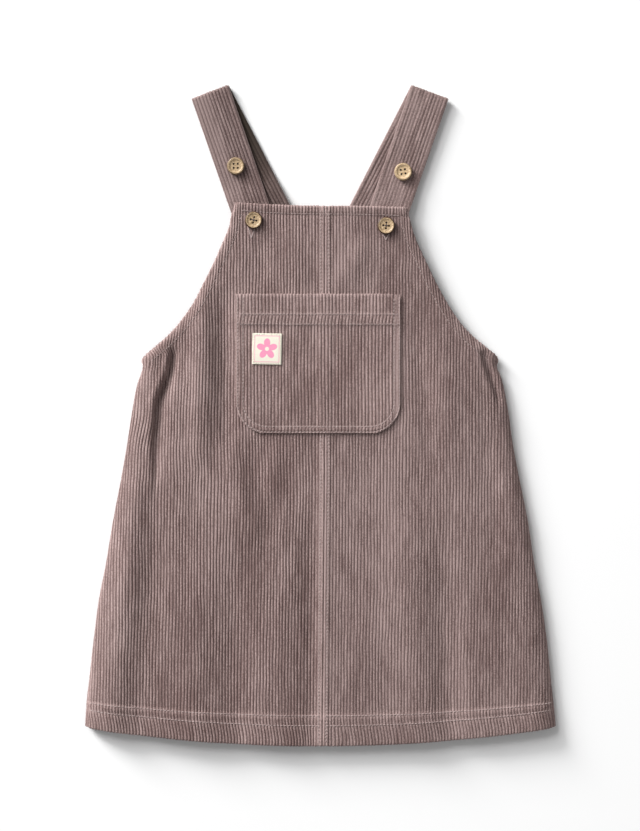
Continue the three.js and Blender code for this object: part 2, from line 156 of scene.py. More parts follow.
# The front's sections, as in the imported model: the height at the centre, the outline's ends, how
# much higher those ends are, and the height and rounding of the outside face.
SECTION_COLUMNS = "y left right rise_left rise_right crown rim roll turn".split()
SECTION_ROWS = (
    (-281, -200.6, 201.4, 16, 16, 10.9, 3.4, 20, 90),
    (-255, -199.4, 199.4, 10, 10, 10.9, 3.4, 21, 90),
    (-228, -196.7, 196.8, 6, 6, 10.9, 3.4, 22, 90),
    (-195, -193.4, 193.8, 2.5, 2.5, 11, 3.4, 22, 90),
    (-160, -189.3, 189.2, 0, 0, 11, 3.4, 22, 90),
    (-125, -182.6, 182.7, 0, 0, 11, 3.4, 22, 90),
    (-90, -176.8, 177.5, 0, 0, 11, 3.4, 22, 90),
    (-55, -170, 170.5, 0, 0, 10.8, 3.4, 22, 90),
    (-20, -164, 164, 0, 0, 10.6, 3.4, 20, 90),
    (0, -161, 161.3, 0, 0, 10.5, 3.4, 19, 90),
    (14, -158.7, 158.9, 0, 0, 10.4, 3.4, 18, 90),
    (27, -156, 156.3, 0, 0, 10.3, 3.4, 17, 90),
    (37, -152.4, 153, 0, 0, 10.2, 3.4, 16, 90),
    (UNDERARM, -151.1, 150.6, 0, 0, 10.1, 3.4, 15, 90),
    (46, -152.1, 152.1, 0, 0, 10, 4.6, 14, 60),
    (50, -150.6, 151.3, 0, 0, 10, 5.6, 13, 50),
    (57, -142.8, 143.6, 0, 0, 9.9, 7.2, 12, 45),
    (68, -130, 130, 0, 0, 9.8, 8.3, 11, 40),
    (80, -119.2, 119, 0, 0, 9.7, 8.6, 10, 40),
    (95, -108.5, 109, 0, 0, 9.6, 8.6, 10, 40),
    (112, -99.5, 99.5, 0, 0, 9.5, 8.6, 10, 40),
    (130, -90.6, 91, 0, 0, 9.5, 8.8, 9, 40),
    (148, -82.5, 82.5, 0, 0, 9.5, 9, 6, 30),
    (162, -77, 77.8, 0, 0, 9.5, 9.2, 4, 30),
    (BACK_TOP, -75.2, 75.8, 0, 0, 9.5, 9.3, 4, 30),
    (178.5, -71.6, 72.4, 3.4, -1.5, 9.5, 9.3, 4, 30),
)
SECTIONS = {name: np.array(column, float) for name, column in zip(SECTION_COLUMNS, zip(*SECTION_ROWS))}
HEM = SECTIONS["y"][0]
BIB_TOP = SECTIONS["y"][-1]

# Folds and soft waves of the front: height, the width over which it falls to a third, and the
# points that it runs through, fading out at both ends.
FOLDS = (
    ("left underarm valley", -2.3, 8, ((-124, 66), (-127, 42), (-134, 10), (-138, -40), (-141, -90))),
    ("right underarm valley", -2.0, 7, ((137, 56), (143, 38), (151, 8))),
    ("left flank wave", 3.9, 11, ((-101, 118), (-101, 50), (-102, -45))),
    ("left flank trough", -2.7, 8, ((-82, 110), (-81, 50), (-80, -40))),
    ("left bib drag", -1.3, 9, ((-52, 152), (-50, 130), (-56, 108))),
    ("left bib wave", 1.1, 10, ((-30, 160), (-20, 135), (-12, 112))),
    ("right bib drag", 1.3, 10, ((40, 152), (28, 130), (14, 104))),
    ("right flank wave", 1.5, 14, ((97, 100), (108, 20), (118, -70))),
    ("right pocket drag", -1.1, 8, ((80, 90), (88, 15), (96, -50))),
    ("right flank trough", -1.4, 11, ((140, 20), (147, -50), (152, -120))),
    ("left hem wave", 2.2, 11, ((-156, -50), (-164, -150), (-184, -340))),
    ("left hem trough", -1.8, 13, ((-136, -60), (-142, -150), (-158, -340))),
    ("left skirt wave", 1.8, 15, ((-96, -80), (-104, -170), (-112, -340))),
    ("left pocket wave", 1.8, 8, ((-84, -22), (-70, -58), (-60, -105))),
    ("left pocket trough", -1.7, 8, ((-64, -20), (-50, -60), (-43, -110))),
    ("left pocket fold", 1.3, 8, ((-34, -22), (-44, -62), (-58, -110))),
    ("left skirt trough", -1.5, 13, ((-76, -120), (-72, -200), (-69, -340))),
    ("left seam wave", 1.1, 14, ((-30, -60), (-32, -170), (-36, -340))),
    ("left seam trough", -1.1, 6, ((-7, -10), (-8, -170), (-9, -340))),
    ("right skirt wave", 1.8, 17, ((76, -60), (80, -170), (86, -340))),
    ("right skirt trough", -1.8, 12, ((104, -90), (108, -190), (114, -340))),
)

# Creases, steep on their left, where the cloth stands over them: depth, height of the cloth beside
# them, and the points that they run down through, fading towards the end.
CREASES = (
    (
        "left underarm",
        4.6,
        1.6,
        ((-125, 60), (-127, 47), (-129, 36), (-134, 24), (-139, 11), (-141, -20), (-141, -80)),
    ),
    ("right underarm", 3.0, 0.9, ((136, 56), (141, 44), (144.5, 34), (150, 19), (153, 4))),
)
CREASE_WIDTHS = (1.7, 4.6)  # of its steep side and of its soft one
LIP_AWAY, LIP_WIDTH = 3.6, 3.2  # of the cloth that stands over it

# How much the turned and pressed layers underneath lift the cloth
BAND_LIFTS = {"hem": 0.8, "armhole": 0.3, "bib": 0.5, "seam": 0.7}
SEAM_DIP = 0.4
ROW_WIDTH = 0.75  # over which a stitch row presses the wales down


# ---- small tools ----


def smoothstep(value, low, high):
    share = np.clip((value - low) / (high - low), 0, 1)
    return share * share * (3 - 2 * share)


def smooth_curve(at, places, values):
    """Values between the given places, on a smooth curve that doesn't overshoot them."""
    steps = np.diff(places)
    slopes = np.diff(values) / steps
    before, after = slopes[:-1], slopes[1:]
    total = np.where(before + after == 0, 1, before + after)
    inner = np.where(before * after > 0, 2 * before * after / total, 0)
    tangents = np.concatenate([slopes[:1], inner, slopes[-1:]])
    at = np.clip(at, places[0], places[-1])
    k = np.clip(np.searchsorted(places, at, side="right") - 1, 0, len(steps) - 1)
    h = steps[k]
    t = (at - places[k]) / h
    return (
        (1 + 2 * t) * (1 - t) ** 2 * values[k]
        + t * (1 - t) ** 2 * h * tangents[k]
        + t * t * (3 - 2 * t) * values[k + 1]
        + t * t * (t - 1) * h * tangents[k + 1]
    )


def wander(x, y, step_x, step_y, seed):
    """Smooth noise between -1 and 1, with a new value every step_x by step_y."""
    lattice = np.random.default_rng(seed).uniform(-1, 1, (256, 256))
    u, v = np.asarray(x) / step_x, np.asarray(y) / step_y
    u, v = np.broadcast_arrays(u, v)
    i, j = np.floor(u).astype(int), np.floor(v).astype(int)
    fu, fv = smoothstep(u - i, 0, 1), smoothstep(v - j, 0, 1)
    corner = lambda a, b: lattice[(i + a) % 256, (j + b) % 256]
    low = corner(0, 0) * (1 - fu) + corner(1, 0) * fu
    high = corner(0, 1) * (1 - fu) + corner(1, 1) * fu
    return low * (1 - fv) + high * fv


def to_path(x, y, path):
    """Each point's distance from a path, its place along it, from 0 to 1, and its side of it.

    The side is 1 to the right of a path that runs down, and -1 to its left."""
    best = np.full(np.shape(x), np.inf)
    place, side = np.zeros(np.shape(x)), np.ones(np.shape(x))
    last = len(path) - 1
    for k, ((ax, ay), (bx, by)) in enumerate(zip(path[:-1], path[1:])):
        share = ((x - ax) * (bx - ax) + (y - ay) * (by - ay)) / ((bx - ax) ** 2 + (by - ay) ** 2)
        share = np.clip(share, 0, 1)
        distance = np.hypot(x - ax - share * (bx - ax), y - ay - share * (by - ay))
        nearer = distance < best
        best = np.where(nearer, distance, best)
        place = np.where(nearer, (k + share) / last, place)
        side = np.where(nearer, np.sign((bx - ax) * (y - ay) - (by - ay) * (x - ax)), side)
    return best, place, side


def wale_height(phase, amount, kept=1.0):
    """How far the wales' surface stands off the middle of the cloth.

    amount is how full they are, and kept is 0 where they end and the cloth is flat."""
    across = np.abs(2 * (phase % 1) - 1)
    crest = np.sqrt(np.clip(1 - (0.97 * across) ** 2.2, 0, 1))
    return WALE_HEIGHT * (crest * kept * amount + 0.4 * (1 - kept) - 0.7)


def ridge(distance, width):
    """1 on a line, falling to a third within a width of it."""
    return np.exp(-((distance / width) ** 2))


# ---- the form of the front ----


def section(name, y):
    return smooth_curve(y, SECTIONS["y"], SECTIONS[name])


def seam_at(y):
    share = (y - HEM) / (BIB_TOP - HEM)
    return SEAM_AT_HEM + (SEAM_AT_TOP - SEAM_AT_HEM) * np.minimum(1, 2 * share)


def outline(y, side):
    return section("left" if side < 0 else "right", y)


def rise(y, side):
    return section("rise_left" if side < 0 else "rise_right", y)


def hem_line(x):
    return HEM + SECTIONS["rise_left"][0] * (x / SECTIONS["right"][0]) ** 2


def bib_line(x):
    k = np.where(x < 0, SECTIONS["rise_left"][-1], SECTIONS["rise_right"][-1])
    return BIB_TOP + k * (x / SECTIONS["right"][-1]) ** 2


ARMHOLE_Y = np.linspace(UNDERARM + 3, BIB_TOP - 2, 60)
ARMHOLES = {
    side: np.column_stack([outline(ARMHOLE_Y, side), ARMHOLE_Y + rise(ARMHOLE_Y, side)])
    for side in (-1, 1)
}


def from_armhole(x, y):
    """Distance from the nearer armhole's edge."""
    left = to_path(x, y, ARMHOLES[-1])[0]
    right = to_path(x, y, ARMHOLES[1])[0]
    return np.minimum(left, right)


def hem_row(x, row):
    height, less = HEM_ROWS[row]
    return height - less * (x / SECTIONS["right"][0]) ** 2


def form(x, y):
    """Height of the front's outside face with its folds, before its sides round over."""
    height = section("crown", y)
    for _, fold, width, path in FOLDS:
        distance, place, _ = to_path(x, y, path)
        height = height + fold * np.sin(np.pi * place) ** 0.7 * ridge(distance, width)
    for _, depth, lip, path in CREASES:
        distance, place, side = to_path(x, y, path)
        fade = smoothstep(place, 0, 0.12) * (1 - smoothstep(place, 0.7, 1))
        across = distance * side
        trough = ridge(across, np.where(across < 0, *CREASE_WIDTHS))
        height = height + fade * (lip * ridge(across + LIP_AWAY, LIP_WIDTH) - depth * trough)
    return height + 0.25 * wander(x, y, 34, 60, 5)


def edges(x, y):
    """The distances that the sewn bands and stitch rows follow."""
    return {
        "hem": y - hem_line(x),
        "bib": bib_line(x) - y,
        "armhole": from_armhole(x, y),
        "seam": x - seam_at(y),
    }


def bands(x, near):
    """How much the turned and pressed layers underneath lift the cloth."""
    lift = BAND_LIFTS["hem"] * (1 - smoothstep(near["hem"], hem_row(x, 0) - 0.4, hem_row(x, 0) + 0.9))
    turned = 1 - smoothstep(near["armhole"], ARMHOLE_ROW - 1.8, ARMHOLE_ROW + 1.8)
    lift = lift + BAND_LIFTS["armhole"] * turned
    lift = lift + BAND_LIFTS["bib"] * (1 - smoothstep(near["bib"], BIB_ROW - 0.4, BIB_ROW + 0.8))
    allowance = 1 - smoothstep(np.abs(near["seam"]), SEAM_BAND - 0.9, SEAM_BAND + 0.5)
    lift = lift + BAND_LIFTS["seam"] * allowance
    return lift - SEAM_DIP * ridge(near["seam"], 0.6)


def rows_pressed(x, near):
    """From 0 to 1, how hard a stitch row presses the wales down."""
    distances = [
        near["hem"] - hem_row(x, 0),
        near["hem"] - hem_row(x, 1),
        near["bib"] - BIB_ROW,
        near["seam"] - SEAM_ROWS[0],
        near["seam"] - SEAM_ROWS[1],
    ]
    hard = np.max([ridge(distance, ROW_WIDTH) for distance in distances], axis=0)
    return np.maximum(hard, 0.35 * ridge(near["armhole"] - ARMHOLE_ROW, 0.8))


# ---- meshes from grids ----

TOUCHING = 1e-6  # points nearer than this, in metres, are one


def mesh_object(name, points, faces, uvs=None, wear_and_highlight=None):
    """A mesh in metres from points in millimetres.

    uvs are per point, in wales, and the last argument is how much paler the pile is made there, from 0 to
    1: partly worn pile, partly painted highlight."""
    mesh = bpy.data.meshes.new(name)
    mesh.from_pydata((np.asarray(points) * MM).tolist(), [], faces)
    if uvs is not None:
        loops = np.empty(len(mesh.loops), np.int32)
        mesh.loops.foreach_get("vertex_index", loops)
        layer = mesh.uv_layers.new(name="cloth")
        layer.data.foreach_set("uv", np.asarray(uvs, np.float32)[loops].ravel())
    if wear_and_highlight is not None:
        wear_and_highlight_layer = mesh.attributes.new("wear_and_highlight", "FLOAT", "POINT")
        wear_and_highlight_layer.data.foreach_set("value", np.asarray(wear_and_highlight, np.float32).ravel())
    piece = bpy.data.objects.new(name, mesh)
    bpy.context.scene.collection.objects.link(piece)
    return piece


def select_only(piece):
    bpy.ops.object.select_all(action="DESELECT")
    piece.select_set(True)
    bpy.context.view_layer.objects.active = piece


def clean(piece):
    """Merges points that lie on each other, which closes the seams, and drops what has no area."""
    select_only(piece)
    bpy.ops.object.mode_set(mode="EDIT")
    bpy.ops.mesh.select_all(action="SELECT")
    bpy.ops.mesh.remove_doubles(threshold=TOUCHING)
    bpy.ops.mesh.dissolve_degenerate(threshold=TOUCHING)
    bpy.ops.object.mode_set(mode="OBJECT")
    piece.data.shade_smooth()
    return piece


def strided(count, step):
    """Every step-th index up to count, and the last."""
    picks = list(range(0, count - 1, step))
    return picks + [count - 1]


def shell(name, outside, inside, uvs, row_step, column_step, wear_and_highlight=None):
    """A closed wall: a fine outside grid and an inside one that keeps only some rows and columns of it.

    Both are given at full size, as arrays of rows, columns and coordinates, running right and up
    as seen from outside."""
    rows, columns = outside.shape[:2]
    picked_rows, picked_columns = strided(rows, row_step), strided(columns, column_step)
    picked = np.ix_(picked_rows, picked_columns)
    points = np.concatenate([outside.reshape(-1, 3), inside[picked].reshape(-1, 3)])
    all_uvs = np.concatenate([uvs.reshape(-1, 2), uvs[picked].reshape(-1, 2)])
    wear_and_highlight = np.zeros((rows, columns)) if wear_and_highlight is None else wear_and_highlight
    all_wear_and_highlight = np.concatenate([wear_and_highlight.ravel(), wear_and_highlight[picked].ravel()])
    width = len(picked_columns)
    start = rows * columns
    fine = lambda i, j: i * columns + j
    under = lambda i, j: start + i * width + j
    i, j = np.meshgrid(np.arange(rows - 1), np.arange(columns - 1), indexing="ij")
    corner = (i * columns + j).ravel()
    faces = np.column_stack([corner, corner + 1, corner + columns + 1, corner + columns]).tolist()
    for a in range(len(picked_rows) - 1):
        for b in range(width - 1):
            faces.append([under(a, b), under(a + 1, b), under(a + 1, b + 1), under(a, b + 1)])
    border = []  # pairs of a coarse point and its fine one, all the way round
    border += [(under(0, b), fine(0, c)) for b, c in enumerate(picked_columns[:-1])]
    border += [(under(a, width - 1), fine(r, columns - 1)) for a, r in enumerate(picked_rows[:-1])]
    top = len(picked_rows) - 1
    border += [(under(top, b), fine(rows - 1, picked_columns[b])) for b in range(width - 1, 0, -1)]
    border += [(under(a, 0), fine(picked_rows[a], 0)) for a in range(top, 0, -1)]
    for k, (low, high) in enumerate(border):
        next_low, next_high = border[(k + 1) % len(border)]
        gap = next_high - high
        stride = int(math.copysign(columns if gap % columns == 0 else 1, gap))
        run = list(range(high, next_high + stride, stride))
        middle = len(run) // 2
        faces += [[b, a, low] for a, b in zip(run[:middle], run[1 : middle + 1])]
        faces.append([run[middle], low, next_low])
        faces += [[b, a, next_low] for a, b in zip(run[middle:-1], run[middle + 1 :])]
    return clean(mesh_object(name, points, faces, all_uvs, all_wear_and_highlight))


# ---- turned edges at the top and bottom of a grid ----


def edge_rows(row, out, height, away, radius):
    """Rows of points and normals that carry one row round a turned edge, away up or down."""
    points, normals = [], []
    for angle in EDGE_ANGLES:
        shift = -out * radius * (1 - np.cos(angle))
        shift[:, 1] += away * radius * np.sin(angle)
        turned = out * np.cos(angle)
        turned[:, 1] += away * np.sin(angle)
        points.append(row + shift + turned * height[:, None])
        normals.append(turned)
    return np.array(points), np.array(normals)


def hemmed(base, normal, height, levels, radius, cloth=CLOTH - 0.2):
    """Outside and inside grids with a turned edge below and above, and each row's place along them."""
    low, low_out = edge_rows(base[0], normal[0], height[0], -1, radius)
    high, high_out = edge_rows(base[-1], normal[-1], height[-1], 1, radius)
    outside = np.concatenate([low[::-1], base + normal * height[..., None], high])
    tuck = min(cloth, 0.8 * radius)
    inside_low = low - low_out * (tuck + height[0][:, None])
    inside_high = high - high_out * (tuck + height[-1][:, None])
    inside = np.concatenate([inside_low[::-1], base - normal * cloth, inside_high])
    steps = np.arange(1, len(low) + 1) * radius * 0.6
    along = np.concatenate([levels[0] - steps[::-1], levels, levels[-1] + steps])
    return outside, inside, along


def wear_and_highlight_near(distance, width, amount=1.0):
    """How much paler the pile is made within a width of a line or an edge, from 0 to 1: partly worn pile,
    partly painted highlight.
    """
    return amount * (1 - smoothstep(np.abs(distance), 0.4 * width, width))


def over_edges(values):
    """The values of a grid, carried on over its turned edges below and above."""
    return np.pad(values, ((len(EDGE_ANGLES), len(EDGE_ANGLES)), (0, 0)), mode="edge")


# ---- front panels ----

HALF_WALES = 78
FRONT_PHASE = np.arange(HALF_WALES * COLUMNS_PER_WALE + 1) / COLUMNS_PER_WALE
FRONT_LEVELS = np.concatenate(
    [
        np.arange(HEM + EDGE_FOLD, HEM + 32, 2.2),
        np.arange(HEM + 34, UNDERARM - 6, 4.4),
        np.arange(UNDERARM - 5, BIB_TOP - 10, 2.3),
        np.linspace(BIB_TOP - 9, BIB_TOP - EDGE_FOLD, 6),
    ]
)
BACK_COLUMNS = HALF_WALES * BACK_COLUMNS_PER_WALE  # on each side of the middle
BACK_PHASE = np.arange(-BACK_COLUMNS, BACK_COLUMNS + 1) / BACK_COLUMNS_PER_WALE
BACK_LEVELS = np.concatenate(
    [
        np.arange(HEM + BACK_HEM_SHORT + EDGE_FOLD, HEM + 34, 3.0),
        np.arange(HEM + 36, UNDERARM - 6, 6.0),
        np.arange(UNDERARM - 5, BACK_TOP - 5, 3.0),
        np.linspace(BACK_TOP - 4, BACK_TOP - EDGE_FOLD, 3),
    ]
)
POCKET_LEVELS = np.concatenate(
    [
        POCKET_BOTTOM + POCKET_FOLD + POCKET_CORNER * (1 - np.cos(np.linspace(0, math.pi / 2, 22))),
        np.linspace(POCKET_BOTTOM + POCKET_CORNER + 3, POCKET_TOP - POCKET_FOLD, 34),
    ]
)


def section_line(level, side):
    """Points of one section of half the front, from the centre seam out, with the outward normals.

    Up to the underarm it ends at the side seam, and above that in a turned edge."""
    end, lift = outline(level, side), rise(level, side)
    roll, rim = section("roll", level), section("rim", level)
    turn = np.radians(section("turn", level))
    start = end - side * roll
    free = smoothstep(level, UNDERARM, UNDERARM + 5)
    radius = EDGE_FOLD * free
    flat, rounding, folding = SECTION_SAMPLES
    arc = np.linspace(0, turn, rounding)
    fold = np.linspace(turn, turn + (EDGE_TURN - turn) * min(1, 4 * free), folding)
    over = start + side * roll * np.sin(arc) / np.sin(turn)
    over -= side * radius * (1 - np.sin(turn)) * smoothstep(arc, 0, turn)
    x = np.concatenate([np.linspace(seam_at(level) + side * SEAM_GAP / 2, start, flat), over])
    y = level + lift * (x / end) ** 2
    z = form(x, y) + bands(x, edges(x, y))
    slope_x = np.gradient(z[:flat], x[:flat]) * smoothstep(np.abs(x[:flat] - seam_at(level)), 0.8, 3)
    z[flat:] -= (z[flat:] - rim) * (1 - np.cos(arc)) / (1 - np.cos(turn))
    x = np.concatenate([x, end + side * radius * (np.sin(fold) - 1)])
    y = np.concatenate([y, np.full(folding, y[-1])])
    z = np.concatenate([z, rim - radius * (np.cos(turn) - np.cos(fold))])
    slope_y = (form(x, y + 1) - form(x, y - 1)) / 2
    angle = np.concatenate([arc, fold])
    slope_end = slope_x[-1] * np.maximum(np.cos(angle), 0)
    normal_x = np.concatenate([-slope_x, side * np.sin(angle) - slope_end])
    normal_z = np.concatenate([np.ones(flat), np.cos(angle)])
    return np.column_stack([x, y, z]), np.column_stack([normal_x, -slope_y * np.abs(normal_z), normal_z])


def lengths(points):
    """How far along a line of points each one lies, in the plane across the dress."""
    steps = np.hypot(np.diff(points[:, 0]), np.diff(points[:, 2]))
    return np.concatenate([[0], np.cumsum(steps)])


def cloth_places(counted, along):
    """UVs of a grid's cloth in wales, from the wales counted across it and millimetres along it."""
    return np.dstack(np.broadcast_arrays(counted[None, :], along[:, None] / WALE))


def unit(vectors):
    return vectors / np.maximum(np.linalg.norm(vectors, axis=-1, keepdims=True), 1e-9)


def take(at, places, values):
    """Points or normals at the given places along a line."""
    return np.column_stack([np.interp(at, places, values[:, k]) for k in range(3)])


def front_grid(side):
    """The front's outside, to the middle of its wales: points, normals, and lengths left to the edge."""
    base, normal, left = [], [], []
    for level in FRONT_LEVELS:
        line, out = section_line(level, side)
        along = lengths(line)
        wanted = wale_places(FRONT_PHASE, level, side)
        at = np.minimum(wanted, along[-1])
        base.append(take(at, along, line))
        normal.append(unit(take(at, along, out)))
        left.append(along[-1] - wanted)
    return np.array(base), np.array(normal), np.array(left)


def wale_places(phase, level, side):
    """How far from the seam, along the cloth, each column lies at this level."""
    place = phase * WALE
    free = smoothstep(place, 3, 22)
    place = place + free * 0.7 * wander(place, level, 26, 70, 11 + side)
    place = place + free * 0.34 * wander(place, level, 6, 15, 21 + side)
    lean = 2.8 * (1 - smoothstep(level - HEM, 2, 25))
    turned = 0.2 * np.maximum(ARMHOLE_ROW + 1 - from_armhole(seam_at(level) + side * place, level), 0)
    return np.maximum.accumulate(place + free * (side * lean - turned))


def front_panel(side):
    base, normal, left = front_grid(side)
    x, y = base[..., 0], base[..., 1]
    near = edges(x, y)
    pressed = rows_pressed(x, near)
    amount = (1 - 0.5 * pressed) * (1 if side < 0 else 0.86)
    amount = amount * (1 - 0.35 * (1 - smoothstep(np.abs(near["seam"]), SEAM_BAND - 1, SEAM_BAND + 1)))
    amount = amount * (1 + 0.22 * wander(FRONT_PHASE[None, :], y, 1, 16, 31 + side))
    plain = 0.6 + 4.5 * (1 - smoothstep(FRONT_LEVELS - HEM, 15, 60))[:, None]
    height = wale_height(FRONT_PHASE, amount, smoothstep(left, plain, plain + 1.6)) - 0.25 * pressed
    outside, inside, along = hemmed(base, normal, height, FRONT_LEVELS, EDGE_FOLD)
    counted = FRONT_PHASE + (side > 0) * CLOTH_STARTS["front_right"]
    uvs = cloth_places(counted, along)
    wear_and_highlight = over_edges(front_wear_and_highlight(x, y, near))
    if side < 0:
        outside, inside, uvs, wear_and_highlight = outside[:, ::-1], inside[:, ::-1], uvs[:, ::-1], wear_and_highlight[:, ::-1]
    name = "front_left" if side < 0 else "front_right"
    return shell(name + "_cloth", outside, inside, uvs, 3, COLUMNS_PER_WALE, wear_and_highlight)


def front_wear_and_highlight(x, y, near):
    """Where the front's pile is made paler: at its edges, over the seam and on the stitch rows, partly as
    worn pile and partly as painted highlight.
    """
    places = [
        wear_and_highlight_near(near["bib"], 1.8, 0.6),
        wear_and_highlight_near(near["armhole"], 1.8, 0.3),
        wear_and_highlight_near(near["hem"], 1.6, 0.3),
        wear_and_highlight_near(near["seam"], SEAM_BAND + 0.6, 0.4),
        wear_and_highlight_near(near["seam"] - SEAM_ROWS[0], 1.5, 1.0),
        wear_and_highlight_near(near["seam"] - SEAM_ROWS[1], 1.3, 0.7),
        wear_and_highlight_near(near["hem"] - hem_row(x, 0), 1.4, 0.4),
        wear_and_highlight_near(near["hem"] - hem_row(x, 1), 1.4, 0.4),
    ]
    return np.max(places, axis=0) * (1 + 0.25 * wander(x, y, 5, 9, 35))


# ---- back panel ----


def back_line(level, side):
    """Half a section of the back's underside, from the middle out, with the outward normals."""
    free = smoothstep(level, UNDERARM, UNDERARM + 4)
    end = outline(level, side) - side * ARMHOLE_INSET * free
    wide = BACK_ROLL + (EDGE_FOLD - BACK_ROLL) * free
    high = BACK_RIM + (EDGE_FOLD - BACK_RIM) * free
    angle = np.linspace(0, math.pi / 2 + (EDGE_TURN - math.pi / 2) * free, 40)
    flat = np.linspace(0, end - side * wide, 200)
    x = np.concatenate([flat, end - side * wide * (1 - np.sin(angle))])
    z = np.concatenate([0 * flat, high * (1 - np.cos(angle))])
    y = level + rise(level, side) * (x / end) ** 2
    turned = np.concatenate([0 * flat, angle])
    return np.column_stack([x, y, z]), np.column_stack([side * np.sin(turned), 0 * x, -np.cos(turned)])


def back_panel():
    base, normal, left = [], [], []
    half = BACK_PHASE[BACK_PHASE > 0]
    for level in BACK_LEVELS:
        row = []
        for side in (-1, 1):
            line, out = back_line(level, side)
            along = lengths(line)
            wanted = half * WALE + 0.6 * wander(half, level, 9, 60, 41 + side)
            at = np.minimum(wanted, along[-1])
            row.append((take(at, along, line), unit(take(at, along, out)), along[-1] - wanted))
        middle = [[0, level, 0]], [[0, 0, -1]], [100]
        join = lambda k: np.concatenate([row[1][k][::-1], middle[k], row[0][k]])
        base.append(join(0))
        normal.append(join(1))
        left.append(join(2))
    base, normal, left = np.array(base), np.array(normal), np.array(left)
    base[..., 2] += 0.32 * WALE_HEIGHT
    phase = BACK_PHASE[::-1]
    x, y = base[..., 0], base[..., 1]
    rows = [y - hem_line(x) - BACK_HEM_SHORT - hem_row(x, row) for row in (0, 1)]
    pressed = ridge(np.min(np.abs(rows), axis=0), ROW_WIDTH)
    amount = (1 - 0.6 * pressed) * (1 + 0.16 * wander(phase[None, :], y, 1, 22, 43))
    height = wale_height(phase, amount, smoothstep(left, 0, 1.2)) - 0.2 * pressed
    outside, inside, along = hemmed(base, normal, height, BACK_LEVELS, EDGE_FOLD)
    return shell("back_cloth", outside, inside, cloth_places(phase, along), 3, BACK_COLUMNS_PER_WALE)


# ---- patch pocket and label ----


def pocket_side(y, side):
    """The pocket's left or right end at a height, round at its lower corners."""
    below = np.clip(POCKET_BOTTOM + POCKET_CORNER - y, 0, POCKET_CORNER)
    end = POCKET_LEFT if side < 0 else POCKET_RIGHT
    return end - side * (POCKET_CORNER - np.sqrt(POCKET_CORNER**2 - below**2))


def pocket_height(x, y):
    """Height of the pocket's cloth, to the middle of its wales."""
    over_seam = 1 - smoothstep(np.abs(x - seam_at(y)), SEAM_BAND - 1, SEAM_BAND + 2)
    in_hem = 1 - smoothstep(POCKET_TOP - y, POCKET_HEM - 0.5, POCKET_HEM + 1)
    from_edge = to_path(x, y, pocket_outline(0))[0]
    turned = 1 - smoothstep(from_edge, POCKET_EDGE_ROWS[1] - 0.7, POCKET_EDGE_ROWS[1] + 0.8)
    return form(x, y) + POCKET_LIFT + 0.35 * over_seam + 0.55 * in_hem + 0.2 * turned


def pocket_outline(inset):
    """The pocket's edge from the top left round to the top right, as a line set in from it."""
    radius = POCKET_CORNER - inset
    low = POCKET_BOTTOM + POCKET_CORNER
    inner_left, inner_right = POCKET_LEFT + POCKET_CORNER, POCKET_RIGHT - POCKET_CORNER
    angle = np.linspace(0, math.pi / 2, 24)
    left = np.column_stack([inner_left - radius * np.cos(angle), low - radius * np.sin(angle)])
    right = np.column_stack([inner_right + radius * np.sin(angle), low - radius * np.cos(angle)])
    ends = [[POCKET_LEFT + inset, POCKET_TOP - 1], [POCKET_RIGHT - inset, POCKET_TOP - 1]]
    return np.concatenate([ends[:1], left, right, ends[1:]])


